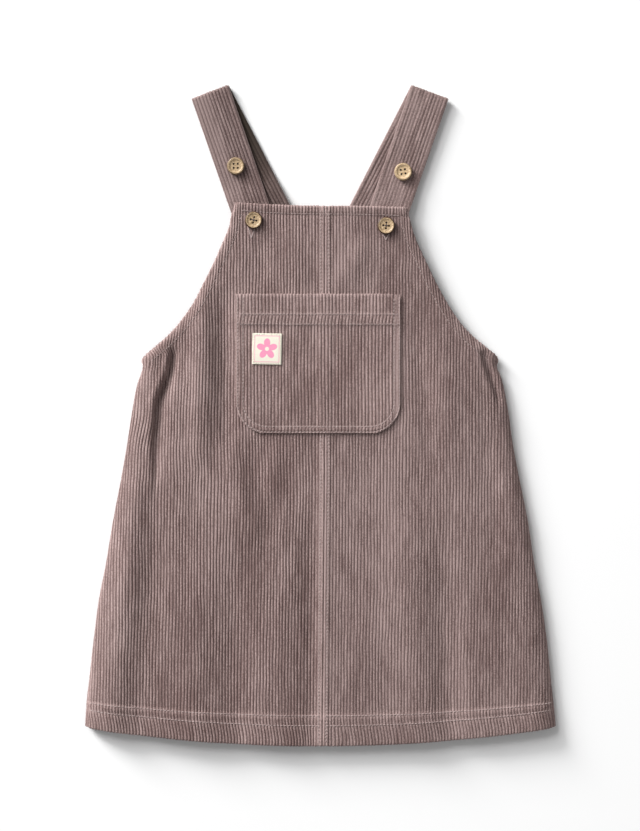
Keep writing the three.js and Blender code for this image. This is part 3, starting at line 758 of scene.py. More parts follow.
def pocket_panel():
    phase = np.arange(POCKET_WALES * COLUMNS_PER_WALE + 1) / COLUMNS_PER_WALE
    middle = (POCKET_LEFT + POCKET_RIGHT) / 2
    turned = 2.6 * POCKET_FOLD  # how much of the cloth goes round its side edges
    base, normal, left = [], [], []
    for level in POCKET_LEVELS:
        x = middle + (phase - POCKET_WALES / 2) * POCKET_WALE
        x = x + POCKET_LEAN * smoothstep(level, POCKET_TOP - POCKET_HEM, POCKET_TOP - POCKET_HEM + 9)
        x = x + 0.5 * wander(x, level, 18, 40, 51)
        low, high = pocket_side(level, -1) + POCKET_FOLD, pocket_side(level, 1) - POCKET_FOLD
        past = np.clip(x - high, 0, turned) - np.clip(low - x, 0, turned)
        angle = past / POCKET_FOLD
        across = np.clip(x, low, high) + POCKET_FOLD * np.sin(angle)
        z = pocket_height(across, level) - POCKET_FOLD * (1 - np.cos(angle))
        base.append(np.column_stack([across, np.full_like(x, level), z]))
        normal.append(np.column_stack([np.sin(angle), 0 * x, np.cos(angle)]))
        left.append(np.minimum(x - low, high - x) + turned)
    base, normal, left = np.array(base), np.array(normal), np.array(left)
    x, y = base[..., 0], base[..., 1]
    rows = [np.abs(POCKET_TOP - y - down) for down in POCKET_TOP_ROWS]
    rows += [to_path(x, y, pocket_outline(inset))[0] for inset in POCKET_EDGE_ROWS]
    pressed = ridge(np.min(rows, axis=0), 0.7)
    amount = (1 - 0.6 * pressed) * (0.88 + 0.2 * wander(phase[None, :], y, 1, 16, 53))
    amount = amount * (1 - 0.8 * smoothstep(x, POCKET_RIGHT - 6.6, POCKET_RIGHT - 5.2))
    from_edge = to_path(x, y, pocket_outline(0))[0]
    # Paler pile, partly worn and partly painted highlight: along the edges, the turned top, the stitch
    # rows and the plain strip at the right.
    places = [
        wear_and_highlight_near(from_edge, 1.7, 0.6),
        wear_and_highlight_near(POCKET_TOP - y, 1.5, 0.35),
        wear_and_highlight_near(from_edge - POCKET_EDGE_ROWS[1], 1.2, 0.4),
        wear_and_highlight_near(POCKET_TOP - y - POCKET_TOP_ROWS[0], 1.2, 0.35),
        wear_and_highlight_near(POCKET_TOP - y - POCKET_TOP_ROWS[1], 1.2, 0.35),
        0.4 * smoothstep(x, POCKET_RIGHT - 6.4, POCKET_RIGHT - 5.4),
    ]
    wear_and_highlight = over_edges(np.max(places, axis=0) * (1 + 0.25 * wander(x, y, 5, 9, 55)))
    height = wale_height(phase, amount, smoothstep(left, 0, 1.2)) - 0.2 * pressed
    outside, inside, along = hemmed(base, normal, height, POCKET_LEVELS, POCKET_FOLD, POCKET_CLOTH)
    uvs = cloth_places(phase + CLOTH_STARTS["pocket"], along)
    return shell("pocket_cloth", outside, inside, uvs, 2, COLUMNS_PER_WALE, wear_and_highlight)


def label_place(across, up):
    """A point of the label, from its middle, in the dress's X and Y."""
    turn = math.radians(LABEL_TILT)
    x = LABEL_X + across * math.cos(turn) + up * math.sin(turn)
    return x, LABEL_Y - across * math.sin(turn) + up * math.cos(turn)


def label_ribbon():
    """A small woven ribbon, sewn down along its edges and slightly full between them."""
    count = 56
    share = np.linspace(-1, 1, count)
    across, up = np.meshgrid(share * LABEL_WIDTH / 2, share * LABEL_LENGTH / 2)
    x, y = label_place(across, up)
    inner = (1 - (2 * across / LABEL_WIDTH) ** 6) * (1 - (2 * up / LABEL_LENGTH) ** 6)
    near = np.minimum(LABEL_WIDTH / 2 - np.abs(across), LABEL_LENGTH / 2 - np.abs(up))
    z = pocket_height(x, y) + LABEL_LIFT + 0.22 * inner - 0.18 * ridge(near - LABEL_ROW, 0.5)
    outside = np.dstack([x, y, z])
    inside = np.dstack([x, y, z - LABEL_CLOTH])
    uvs = np.dstack([across / LABEL_WIDTH, up / LABEL_WIDTH])
    return shell("label_ribbon", outside, inside, uvs, 3, 3)


# ---- shoulder straps ----


def strap_rows():
    """Places along a strap: which stretch each row is on, how far from the fold, and how far round it."""
    stretch = np.linspace(1, 0, STRAP_ROWS)
    arc = np.linspace(0, math.pi, STRAP_FOLD_ROWS + 2)[1:-1]
    rows = [("front", share, 0.0) for share in stretch]
    rows += [("front" if angle <= math.pi / 2 else "back", 0.0, angle) for angle in arc]
    return rows + [("back", share, math.pi) for share in stretch[::-1]]


def strap_surface(side, width_share, stretch, share, angle):
    """Points and outward normals of the strap's outer face, across its width at one row."""
    mirror = np.array([side, 1])
    at = lambda line: (np.outer(1 - width_share, line[0]) + np.outer(width_share, line[1])) * mirror
    top, end = at(STRAP_TOP), at(STRAP_ENDS[stretch])
    away = unit(top - end)
    radius = STRAP_LIFT
    near_top = top - away * radius
    plan = near_top + (end - near_top) * share + away * radius * math.sin(angle)
    climb = STRAP_CLIMB * smoothstep(share, 0.58, 0.76)
    z = radius + radius * math.cos(angle) + climb + STRAP_CLEAR * math.sin(angle / 2) ** 2
    points = np.column_stack([plan, np.full(len(plan), z)])
    normals = np.column_stack([away * math.sin(angle), np.full(len(plan), math.cos(angle))])
    return points, normals


def brushed_flat(side, share, place):
    """How flat a strap's wales are, from 0 to 1: the left one's outer side, and patches of the right."""
    patches = smoothstep(wander(share, place, 0.3, 11, 65 + side), -0.3, 0.5)
    if side > 0:
        return 0.7 * patches
    return smoothstep(share, 0.48, 0.7) * (0.7 + 0.3 * patches)


def shoulder_strap(side):
    """A strip sewn double, folded flat at the shoulder: front stretch, fold and back stretch."""
    half = STRAP_CLOTH / 2
    face = np.arange(STRAP_WALES * COLUMNS_PER_WALE + 1) / COLUMNS_PER_WALE
    round_edge = np.linspace(0, math.pi, 6)[1:-1]
    straight = (STRAP_WIDTH - STRAP_CLOTH) / STRAP_WIDTH
    start = half / STRAP_WIDTH
    share = np.concatenate(
        [
            start + straight * face / STRAP_WALES,
            1 - start + start * np.sin(round_edge),
            1 - start - straight * face / STRAP_WALES,
            start - start * np.sin(round_edge),
        ]
    )
    depth = np.concatenate([0 * face, half - half * np.cos(round_edge)] * 2)
    depth[len(face) + len(round_edge) :] = STRAP_CLOTH - depth[len(face) + len(round_edge) :]
    outward = 1 - 2 * depth / STRAP_CLOTH
    phase = np.concatenate([face, STRAP_WALES + round_edge / math.pi] * 2)
    on_face = np.abs(outward) > 0.999
    points, wear_and_highlight = [], []
    # Paler pile along the strap's edges and where its wales lie flat: partly wear, partly painted
    # highlight.
    edge_wear_and_highlight = 0.6 * (1 - smoothstep(np.minimum(share, 1 - share), 0.01, 0.055))
    for place, (stretch, reach, angle) in enumerate(strap_rows()):
        surface, normal = strap_surface(side, share, stretch, reach, angle)
        bend = math.sin(angle)
        squeezed = np.where(outward < 0, 1 - 0.85 * bend, 1)
        flat = brushed_flat(side, share, place)
        amount = (0.85 if side < 0 else 0.6) + 0.3 * wander(phase, place, 1, 9, 61 + side)
        amount = amount * (1 - 0.5 * flat)
        wales = wale_height(phase, amount, on_face) * squeezed
        wales = wales + 0.12 * wander(phase, place, 2.3, 9, 63 + side)
        points.append(surface - normal * (depth - outward * wales)[:, None])
        wear_and_highlight.append(np.maximum(edge_wear_and_highlight, 0.5 * flat))
    points = np.array(points)
    rows, columns = points.shape[:2]
    i, j = np.meshgrid(np.arange(rows - 1), np.arange(columns), indexing="ij")
    here, right = (i * columns + j).ravel(), (i * columns + (j + 1) % columns).ravel()
    faces = np.column_stack([here, here + columns, right + columns, right]).tolist()
    faces += [list(range(columns)), list(range((rows - 1) * columns, rows * columns))]
    uvs = cloth_places(phase + CLOTH_STARTS["straps"], STRAP_ROW_STEP * np.arange(rows))
    name = "strap_left" if side < 0 else "strap_right"
    strap = clean(mesh_object(name + "_cloth", points.reshape(-1, 3), faces, uvs.reshape(-1, 2), wear_and_highlight))
    bpy.ops.object.mode_set(mode="EDIT")
    bpy.ops.mesh.select_all(action="SELECT")
    bpy.ops.mesh.normals_make_consistent(inside=False)
    bpy.ops.object.mode_set(mode="OBJECT")
    return strap


# ---- stitches ----


def stitch_shape():
    """One stitch, lying along X with its middle at the origin, as points and faces."""
    bpy.ops.object.select_all(action="DESELECT")
    bpy.ops.mesh.primitive_uv_sphere_add(segments=6, ring_count=5, radius=1)
    pattern = bpy.context.active_object
    bpy.ops.object.mode_set(mode="EDIT")
    bpy.ops.mesh.select_all(action="SELECT")
    bpy.ops.transform.rotate(value=math.pi / 2, orient_axis="Y", center_override=(0, 0, 0))
    bpy.ops.object.mode_set(mode="OBJECT")
    points = np.array([vertex.co for vertex in pattern.data.vertices])
    faces = [list(face.vertices) for face in pattern.data.polygons]
    bpy.data.objects.remove(pattern)
    return points, faces


def sew(name, stitches):
    """Joins stitches, each given as its middle, its direction, the way up, its length and its radius."""
    pattern, pattern_faces = stitch_shape()
    points, faces, uvs = [], [], []
    for k, (middle, along, up, length, radius) in enumerate(stitches):
        along = unit(np.array(along, float))
        across = unit(np.cross(up, along))
        up = np.cross(along, across)
        lengthwise = pattern[:, :1] * along * length / 2
        sideways = pattern[:, 1:2] * across * radius
        upward = pattern[:, 2:] * up * radius
        points.append(middle + lengthwise + sideways + upward)
        faces += [[k * len(pattern) + v for v in face] for face in pattern_faces]
        uvs.append(pattern[:, :2] * (1, 0.3) + (k, 0))
    piece = mesh_object(name, np.concatenate(points), faces, np.concatenate(uvs))
    piece.data.shade_smooth()
    return piece


def front_places(points):
    """Points and normals on the front's cloth over points of the plan."""
    found, normals = [], []
    for x, y in points:
        side = -1 if x < seam_at(y) else 1
        level = y
        for _ in range(3):
            level = y - rise(level, side) * (x / outline(level, side)) ** 2
        line, out = section_line(level, side)
        inner = slice(0, SECTION_SAMPLES[0] + SECTION_SAMPLES[1])
        order = slice(None, None, side)
        at = lambda values: np.interp(x, line[inner, 0][order], values[inner][order])
        found.append([x, y, at(line[:, 2])])
        normals.append([at(out[:, k]) for k in range(3)])
    return np.array(found), unit(np.array(normals))


def even_points(path, step, start=0.5):
    """Points a step apart along a path of the plan."""
    path = np.asarray(path, float)
    along = np.concatenate([[0], np.cumsum(np.hypot(*np.diff(path, axis=0).T))])
    at = np.arange(start * step, along[-1], step)
    return np.column_stack([np.interp(at, along, path[:, 0]), np.interp(at, along, path[:, 1])])


def stitch_row(path, places, step=STITCH, radius=THREAD, lift=THREAD_LIFT):
    """Stitches along a path of the plan, on whatever surface places() gives."""
    ends = even_points(path, step)
    points, normals = places(ends)
    row = []
    for a, b, up in zip(points[:-1], points[1:], normals[:-1]):
        middle = (a + b) / 2 + up * lift
        row.append((middle, b - a, up, 0.8 * np.linalg.norm(b - a), radius))
    return row


def hem_path(row, side):
    x = np.linspace(seam_at(HEM) + side * 1.5, side * (SECTIONS["right"][0] - 3.4), 60)
    return np.column_stack([x, hem_line(x) + hem_row(x, row)])


def armhole_path(side, inset=ARMHOLE_ROW):
    """The armhole's stitch row: its edge, moved in."""
    edge = ARMHOLES[side]
    along = unit(np.gradient(edge, axis=0))
    inward = np.column_stack([along[:, 1], -along[:, 0]]) * -side
    path = edge + inward * inset
    keep = (path[:, 1] > UNDERARM + 2) & (bib_line(path[:, 0]) - path[:, 1] > BIB_ROW)
    return path[keep]


def front_stitches():
    stitches = []
    for side in (-1, 1):
        for row in (0, 1):
            stitches += stitch_row(hem_path(row, side), front_places)
        stitches += stitch_row(armhole_path(side), front_places, **SUNK_THREAD)
    x = np.linspace(SECTIONS["left"][-1] + 3, SECTIONS["right"][-1] - 3, 40)
    stitches += stitch_row(np.column_stack([x, bib_line(x) - BIB_ROW]), front_places, **SUNK_THREAD)
    for offset in SEAM_ROWS:
        for low, high in ((HEM + 2, POCKET_BOTTOM - 1), (POCKET_TOP + 1, BIB_TOP - 2)):
            y = np.linspace(low, high, 40)
            stitches += stitch_row(np.column_stack([seam_at(y) + offset, y]), front_places)
    return sew("front_stitches", stitches)


def pocket_places(points):
    x, y = points.T
    slope_x = pocket_height(x + 0.5, y) - pocket_height(x - 0.5, y)
    normals = np.column_stack([-slope_x, 0 * x, 0 * x + 1])
    return np.column_stack([x, y, pocket_height(x, y)]), unit(normals)


def pocket_stitches():
    stitches = []
    for down in POCKET_TOP_ROWS:
        path = [[POCKET_LEFT + 1.5, POCKET_TOP - down], [POCKET_RIGHT - 1.5, POCKET_TOP - down]]
        stitches += stitch_row(path, pocket_places)
    for inset in POCKET_EDGE_ROWS:
        stitches += stitch_row(pocket_outline(inset), pocket_places)
    return sew("pocket_stitches", stitches)


def label_places(points):
    x, y = points.T
    z = pocket_height(x, y) + LABEL_LIFT + 0.05
    return np.column_stack([x, y, z]), np.tile([0, 0, 1], (len(x), 1))


def label_stitches():
    across, up = LABEL_WIDTH / 2 - LABEL_ROW, LABEL_LENGTH / 2 - LABEL_ROW
    corners = [(-across, -up), (across, -up), (across, up), (-across, up), (-across, -up)]
    path = [label_place(*corner) for corner in corners]
    return sew("label_stitches", stitch_row(path, label_places, step=2.1, radius=0.2))


def back_places(points):
    x, y = points.T
    z = np.full_like(x, 0.32 * WALE_HEIGHT + 0.3)
    return np.column_stack([x, y, z]), np.tile([0, 0, -1], (len(x), 1))


def back_stitches():
    stitches = []
    for row in (0, 1):
        x = np.linspace(-192, 192, 60)
        path = np.column_stack([x, hem_line(x) + BACK_HEM_SHORT + hem_row(x, row)])
        stitches += stitch_row(path, back_places)
    for side in (-1, 1):
        path = armhole_path(side, ARMHOLE_ROW + ARMHOLE_INSET)
        stitches += stitch_row(path[path[:, 1] < BACK_TOP - BIB_ROW], back_places)
    top = [[-64, BACK_TOP - BIB_ROW], [64, BACK_TOP - BIB_ROW]]
    stitches += stitch_row(top, back_places)
    return sew("back_stitches", stitches)


def buttonholes():
    """Satin stitches down both sides of each slit, spread by its button, and across its lower end."""
    stitches = []
    for low_x, low_y, high_x, high_y in BUTTONHOLES:
        for share in np.linspace(0, 1, 17):
            x = low_x + (high_x - low_x) * share
            y = low_y + (high_y - low_y) * share
            for side in (-1, 1):
                (point,), (up,) = front_places([(x + side * (0.35 + BUTTONHOLE_SPREAD * share), y)])
                stitches.append((point + up * SATIN_LIFT, (1, 0.25 * side, 0), up, 1.25, 0.27))
        (point,), (up,) = front_places([(low_x, low_y - 0.3)])
        stitches.append((point + up * SATIN_LIFT, (1, 0, 0), up, 2.0, 0.34))
    return sew("buttonhole_stitches", stitches)


def button_middle(name):
    """A button's middle in X and Y, and its lowest and highest Z."""
    low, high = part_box(name)
    return (low[0] + high[0]) / 2 / MM, (low[1] + high[1]) / 2 / MM, low[2] / MM, high[2] / MM


def button_threads():
    """Thread in the four holes of each button, and crossed over the middle of those on the bib."""
    stitches = []
    for name, (_, _, _, turn) in BUTTONS.items():
        x, y, bottom, top = button_middle(name)
        for corner in (45, 135, 225, 315):
            angle = math.radians(corner + turn)
            hole_x, hole_y = x + HOLE_REACH * math.cos(angle), y + HOLE_REACH * math.sin(angle)
            # Each hole's thread sits sunk below the face and is very dark, which paints the shade down
            # the hole.
            hole = (hole_x, hole_y, (top + bottom) / 2 - 0.8)
            stitches.append((hole, (0, 0, 1), (1, 0, 0), top - bottom - 1.9, 0.78))
        if "bib" not in name:
            continue
        for diagonal in (45, 135):
            angle = math.radians(diagonal + turn)
            along = (math.cos(angle), math.sin(angle), 0)
            z = top - 0.85 + 0.12 * (diagonal > 90)
            for offset in (-0.2, 0.2):
                middle = (x - offset * along[1], y + offset * along[0], z)
                stitches.append((middle, along, (0, 0, 1), 3.7, 0.26))
    return sew("button_threads", stitches)


# ---- materials ----

# Groove is the ground weave's own colour with painted shade between the wales in it; Pile and Crest are
# random lighter tones of the pile.
CLOTH_COLOURS = {
    "Groove": (0.070, 0.042, 0.040),
    "Pile": (0.165, 0.108, 0.100),
    "Crest": (0.40, 0.295, 0.28),
}
# Painted shadow for the start of the left strap's back stretch, where its front stretch shades it.
SHADED_GROOVE, SHADED_PILE = (0.034, 0.025, 0.020), (0.048, 0.036, 0.028)
CREAM_DARK, CREAM_LIGHT = (0.82, 0.76, 0.62), (0.95, 0.92, 0.81)
PINK_DARK, PINK_LIGHT = (0.87, 0.24, 0.42), (0.95, 0.42, 0.58)
SHELL_BROWN, SHELL_TAN = (0.46, 0.31, 0.16), (0.80, 0.60, 0.38)
SHELL_FLECK, SHELL_RIM, SHELL_HOLE_SHADE = (0.16, 0.085, 0.03), (0.06, 0.025, 0.01), (0.03, 0.014, 0.008)

# The flower on the label, in label widths: reach of its petals and its middle, and the border's place
PETAL_FOOT, PETAL_LENGTH = 0.16, 0.2
FLOWER_MIDDLE = 0.07
BORDER = 0.415
WARP, WEFT = 46, 40  # threads to a label width


def opaque(colour, tone=1.0):
    return (*(tone * part for part in colour), 1)


class Nodes:
    """A node tree and short ways to add to it."""

    def __init__(self, tree):
        self.tree = tree

    def add(self, kind, inputs=(), **settings):
        """A node with the given settings, and with values or links at the named or numbered inputs."""
        node = self.tree.nodes.new(kind)
        for name, value in settings.items():
            setattr(node, name, value)
        for socket, value in dict(inputs).items():
            self.feed(node.inputs[socket], value)
        return node

    def feed(self, socket, value):
        if isinstance(value, bpy.types.NodeSocket):
            self.tree.links.new(value, socket)
        else:
            socket.default_value = value

    def math(self, operation, *values, clamp=False):
        inputs = enumerate(values)
        return self.add("ShaderNodeMath", inputs, operation=operation, use_clamp=clamp).outputs[0]

    def plus(self, first, *others):
        for value in others:
            first = self.math("ADD", first, value)
        return first

    def minus(self, value, less):
        return self.math("SUBTRACT", value, less)

    def times(self, value, factor):
        return self.math("MULTIPLY", value, factor)

    def reach(self, x, y):
        """Distance from the middle."""
        squares = self.plus(self.math("POWER", x, 2.0), self.math("POWER", y, 2.0))
        return self.math("SQRT", squares)

    def split(self, vector):
        return self.add("ShaderNodeSeparateXYZ", {0: vector}).outputs

    def mix(self, share, low, high):
        inputs = {"Factor": share, 6: low, 7: high}
        return self.add("ShaderNodeMix", inputs, data_type="RGBA").outputs[2]

    def spread(self, value, low, high, out_low=0.0, out_high=1.0):
        """A smooth step from one value to another, as the given value goes from low to high."""
        inputs = {"Value": value, "From Min": low, "From Max": high}
        inputs |= {"To Min": out_low, "To Max": out_high}
        return self.add("ShaderNodeMapRange", inputs, interpolation_type="SMOOTHSTEP").outputs[0]

    def noise(self, vector, scale, detail=2.0, roughness=0.5, stretch=(1, 1, 1)):
        placed = self.add("ShaderNodeMapping", {"Vector": vector, "Scale": stretch}).outputs[0]
        inputs = {"Vector": placed, "Scale": scale, "Detail": detail, "Roughness": roughness}
        return self.add("ShaderNodeTexNoise", inputs).outputs["Fac"]

    def bump(self, height, strength, distance):
        inputs = {"Height": height, "Strength": strength, "Distance": distance}
        return self.add("ShaderNodeBump", inputs).outputs[0]


def node_group(name, inputs, outputs):
    """An empty group with named sockets, and its own input and output nodes."""
    tree = bpy.data.node_groups.new(name, "ShaderNodeTree")
    for socket, kind, default in inputs:
        made = tree.interface.new_socket(socket, in_out="INPUT", socket_type="NodeSocket" + kind)
        if default is not None:
            made.default_value = default
    for socket, kind in outputs:
        tree.interface.new_socket(socket, in_out="OUTPUT", socket_type="NodeSocket" + kind)
    nodes = Nodes(tree)
    return tree, nodes, nodes.add("NodeGroupInput"), nodes.add("NodeGroupOutput")


def wale_pile_group():
    """Corduroy's colour and height, from wales counted across by the cloth's U and along by its V."""
    inputs = [
        ("Cloth", "Vector", None),
        ("Place", "Vector", None),
        ("Groove", "Color", (0.1, 0.07, 0.07, 1)),
        ("Pile", "Color", (0.3, 0.2, 0.2, 1)),
        ("Crest", "Color", (0.4, 0.3, 0.3, 1)),
        ("Groove weave and shade", "Float", 1.0),
        ("Wear and highlight", "Float", 0.0),
        ("Shade", "Float", 0.0),
    ]
    outputs = [("Color", "Color"), ("Height", "Float")]
    tree, nodes, given, out = node_group("wale_pile", inputs, outputs)
    cloth, place, wear_and_highlight = (given.outputs[name] for name in ("Cloth", "Place", "Wear and highlight"))
    within = nodes.math("FRACT", nodes.split(cloth)["X"])
    across = nodes.math("ABSOLUTE", nodes.minus(nodes.times(within, 2.0), 1.0))
    streaks = nodes.noise(cloth, 1.0, 3.0, 0.6, (1.7, 0.16, 1))
    tufts = nodes.noise(cloth, 1.0, 3.0, 0.7, (2.6, 1.9, 1))
    patches = nodes.noise(place, 24.0, 3.0, 0.6, (1, 0.28, 1))
    mottle = nodes.noise(place, 85.0, 2.0, 0.6, (1, 0.3, 1))
    fuzz = nodes.noise(place, 900.0, 2.0, 0.7)
    edge = nodes.plus(across, nodes.times(nodes.minus(tufts, 0.5), 0.5))
    # Darker grooves: the ground weave's colour with painted shade in it, as strong as the groove setting
    # asks, less where the pile is made paler.
    full = nodes.times(nodes.minus(1.0, wear_and_highlight), given.outputs["Groove weave and shade"])
    groove_weave_and_shade = nodes.math("MULTIPLY", nodes.spread(edge, 0.5, 1.02), full, clamp=True)
    # Random streaks, patches and tufts, plus paler pile where it is worn and where a highlight is
    # painted.
    tone = nodes.plus(
        nodes.times(streaks, 1.1),
        nodes.times(patches, 1.1),
        nodes.times(nodes.minus(mottle, 0.5), 0.5),
        nodes.times(nodes.minus(tufts, 0.5), 1.7),
        nodes.times(wear_and_highlight, 0.5),
        nodes.times(nodes.minus(fuzz, 0.5), 0.9),
    )
    pile = nodes.mix(nodes.spread(tone, 0.65, 1.6), given.outputs["Pile"], given.outputs["Crest"])
    colour = nodes.mix(groove_weave_and_shade, pile, given.outputs["Groove"])
    # Painted shade, as deep as the Shade input asks.
    shaded = nodes.mix(groove_weave_and_shade, opaque(SHADED_PILE), opaque(SHADED_GROOVE))
    nodes.feed(out.inputs["Color"], nodes.mix(given.outputs["Shade"], colour, shaded))
    nodes.feed(out.inputs["Height"], nodes.plus(nodes.times(tufts, 0.6), nodes.times(fuzz, 0.4)))
    return tree


def new_material(name, values):
    """A material, its nodes, its shader with the given constants, and the object's coordinates."""
    material = bpy.data.materials.new(name)
    material.use_nodes = True
    nodes = Nodes(material.node_tree)
    shader = material.node_tree.nodes["Principled BSDF"]
    for socket, value in values.items():
        shader.inputs[socket].default_value = value
    where = nodes.add("ShaderNodeTexCoord").outputs["Object"]
    return material, nodes, shader, where


def corduroy(name, pile_group, depth=1.0, tone=1.0, shaded_back=False):
    """Brushed cotton corduroy: dark grooves between streaked, patchy wales, with a soft sheen.

    depth is how much of the groove colour, the ground weave's with painted shade in it, the cloth gets,
    and tone how light it is. With shaded_back, the front stretch's shadow is painted over the start of a
    strap's back stretch."""
    finish = {
        "Roughness": 0.92,
        "Specular IOR Level": 0.12,
        "Sheen Weight": 0.22,
        "Sheen Roughness": 0.45,
        "Sheen Tint": (0.8, 0.66, 0.64, 1),
    }
    material, nodes, shader, where = new_material(name, finish)
    group = nodes.add("ShaderNodeGroup", node_tree=pile_group)
    cloth = nodes.add("ShaderNodeUVMap", uv_map="cloth").outputs[0]
    wear_and_highlight = nodes.add("ShaderNodeAttribute", attribute_name="wear_and_highlight").outputs["Fac"]
    inputs = {"Cloth": cloth, "Place": where, "Wear and highlight": wear_and_highlight, "Groove weave and shade": depth}
    inputs |= {socket: opaque(colour, tone) for socket, colour in CLOTH_COLOURS.items()}
    for socket, value in inputs.items():
        nodes.feed(group.inputs[socket], value)
    if shaded_back:
        # Painted shade: full just past the fold, fading along the back stretch towards the bib.
        along = nodes.split(cloth)["Y"]
        begins = nodes.spread(along, STRAP_BACK - 5, STRAP_BACK)
        fades = nodes.spread(along, STRAP_BACK + 13, STRAP_BACK + 44, 1.0, 0.25)
        nodes.feed(group.inputs["Shade"], nodes.times(begins, fades))
    nodes.feed(shader.inputs["Base Color"], group.outputs["Color"])
    nodes.feed(shader.inputs["Normal"], nodes.bump(group.outputs["Height"], 0.7, 0.0005))
    return material


def thread(name, dark, light):
    """Twisted sewing thread."""
    material, nodes, shader, where = new_material(name, {"Roughness": 0.7, "Sheen Weight": 0.15})
    twist = nodes.noise(where, 2600.0, 2.0, 0.6, (1, 0.5, 1))
    tone = nodes.noise(where, 120.0, 1.0)
    share = nodes.plus(nodes.times(twist, 0.6), nodes.times(tone, 0.4))
    colour = nodes.mix(nodes.spread(share, 0.35, 0.65), opaque(dark), opaque(light))
    nodes.feed(shader.inputs["Base Color"], colour)
    nodes.feed(shader.inputs["Normal"], nodes.bump(twist, 0.6, 0.0002))
    return material


def woven_label():
    """Cream woven ribbon with a five-petal flower and a thin border."""
    finish = {"Roughness": 0.75, "Sheen Weight": 0.1}
    material, nodes, shader, _ = new_material("woven_label", finish)
    cloth = nodes.add("ShaderNodeUVMap", uv_map="cloth").outputs[0]
    x, y, _ = nodes.split(cloth)
    warp = nodes.math("SINE", nodes.times(x, 2 * math.pi * WARP))
    weft = nodes.math("SINE", nodes.times(y, 2 * math.pi * WEFT))
    weave = nodes.times(warp, weft)
    fray = nodes.times(nodes.minus(nodes.noise(cloth, float(WARP), 1.0), 0.5), 0.012)
    reach = nodes.plus(nodes.reach(x, y), fray)
    petals = nodes.math("COSINE", nodes.times(nodes.math("ARCTAN2", x, y), 2.5))
    rim = nodes.plus(nodes.times(nodes.math("ABSOLUTE", petals), PETAL_LENGTH), PETAL_FOOT)
    in_petal = nodes.spread(nodes.minus(rim, reach), -0.008, 0.008)
    in_middle = nodes.spread(reach, FLOWER_MIDDLE - 0.008, FLOWER_MIDDLE + 0.008, 1.0, 0.0)
    wide = nodes.math("ABSOLUTE", x)
    high = nodes.math("DIVIDE", nodes.math("ABSOLUTE", y), LABEL_LENGTH / LABEL_WIDTH)
    from_border = nodes.math("ABSOLUTE", nodes.minus(nodes.math("MAXIMUM", wide, high), BORDER))
    in_border = nodes.spread(from_border, 0.008, 0.016, 1.0, 0.0)
    lit = nodes.spread(weave, -1.0, 1.0)
    cream = nodes.mix(lit, opaque(CREAM_DARK), opaque(CREAM_LIGHT))
    pink = nodes.mix(lit, opaque(PINK_DARK), opaque(PINK_LIGHT))
    colour = nodes.mix(nodes.times(in_border, 0.7), cream, pink)
    colour = nodes.mix(in_petal, colour, pink)
    colour = nodes.mix(in_middle, colour, cream)
    nodes.feed(shader.inputs["Base Color"], colour)
    nodes.feed(shader.inputs["Normal"], nodes.bump(weave, 0.35, 0.0001))
    return material


def coconut(name, light, flecked, rimmed):
    """Polished coconut shell: tan with brown flecks and short grain, darker at its edge, with painted
    shade down its holes.
    """
    finish = {"Roughness": 0.58, "Coat Weight": 0.03}
    material, nodes, shader, where = new_material("coconut_" + name, finish)
    x, y, _, top = button_middle(name)
    middle = {"Vector": where, "Location": (-x * MM, -y * MM, -top * MM)}
    vector = nodes.add("ShaderNodeMapping", middle).outputs[0]
    grain = nodes.noise(vector, 420.0, 4.0, 0.65, (1, 3.2, 1))
    flecks = nodes.noise(vector, 700.0, 3.0, 0.6, (0.8, 1.7, 1))
    brown, tan = opaque(SHELL_BROWN, light), opaque(SHELL_TAN, light)
    body = nodes.mix(nodes.spread(grain, 0.36, 0.64), brown, tan)
    body = nodes.mix(nodes.spread(flecks, 0.52, 0.64, 0.0, flecked), body, opaque(SHELL_FLECK))
    across, up, height = nodes.split(vector)
    reach = nodes.reach(across, up)
    wavy = nodes.plus(reach, nodes.times(nodes.minus(grain, 0.5), 0.0008))
    in_rim = nodes.spread(wavy, 0.0063, 0.0067, 0.0, rimmed)
    colour = nodes.mix(in_rim, body, opaque(SHELL_RIM))
    # Painted shade down the holes, below the button's dished face.
    low = nodes.spread(height, -0.00125, -0.00095, 1.0, 0.0)
    inner = nodes.spread(reach, 0.0042, 0.0046, 1.0, 0.0)
    colour = nodes.mix(nodes.times(low, inner), colour, opaque(SHELL_HOLE_SHADE))
    nodes.feed(shader.inputs["Base Color"], colour)
    nodes.feed(shader.inputs["Normal"], nodes.bump(grain, 0.25, 0.0002))
    return material


def pale_floor():
    finish = {"Roughness": 0.95, "Specular IOR Level": 0.0}
    material, nodes, shader, where = new_material("pale_floor", finish)
    tone = nodes.noise(where, 3.0, 2.0)
    colour = nodes.mix(tone, (0.93, 0.93, 0.93, 1), (0.96, 0.96, 0.96, 1))
    nodes.feed(shader.inputs["Base Color"], colour)
    return material


def dress(piece, material, slot_name, *nodes):
    """Gives a piece its finish and its body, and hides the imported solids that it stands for."""
    piece.data.materials.append(material)
    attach(piece, "root")
    if nodes:
        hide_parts(*nodes)
    return piece


# ---- the dress ----

pile = wale_pile_group()
# Copies of one corduroy: depth sets how much painted groove shade each piece gets, and tone how light
# each piece is made.
left_cloth = corduroy("corduroy", pile, 1.0, 1.07)
right_cloth = corduroy("corduroy_right", pile, 0.75, 0.97)
pocket_corduroy = corduroy("corduroy_pocket", pile, 0.85, 1.08)
left_strap_cloth = corduroy("corduroy_strap_left", pile, 0.95, 0.75, shaded_back=True)
right_strap_cloth = corduroy("corduroy_strap_right", pile, 0.35, 0.86)
sewing_thread = thread("sewing_thread", (0.31, 0.23, 0.22), (0.53, 0.425, 0.405))
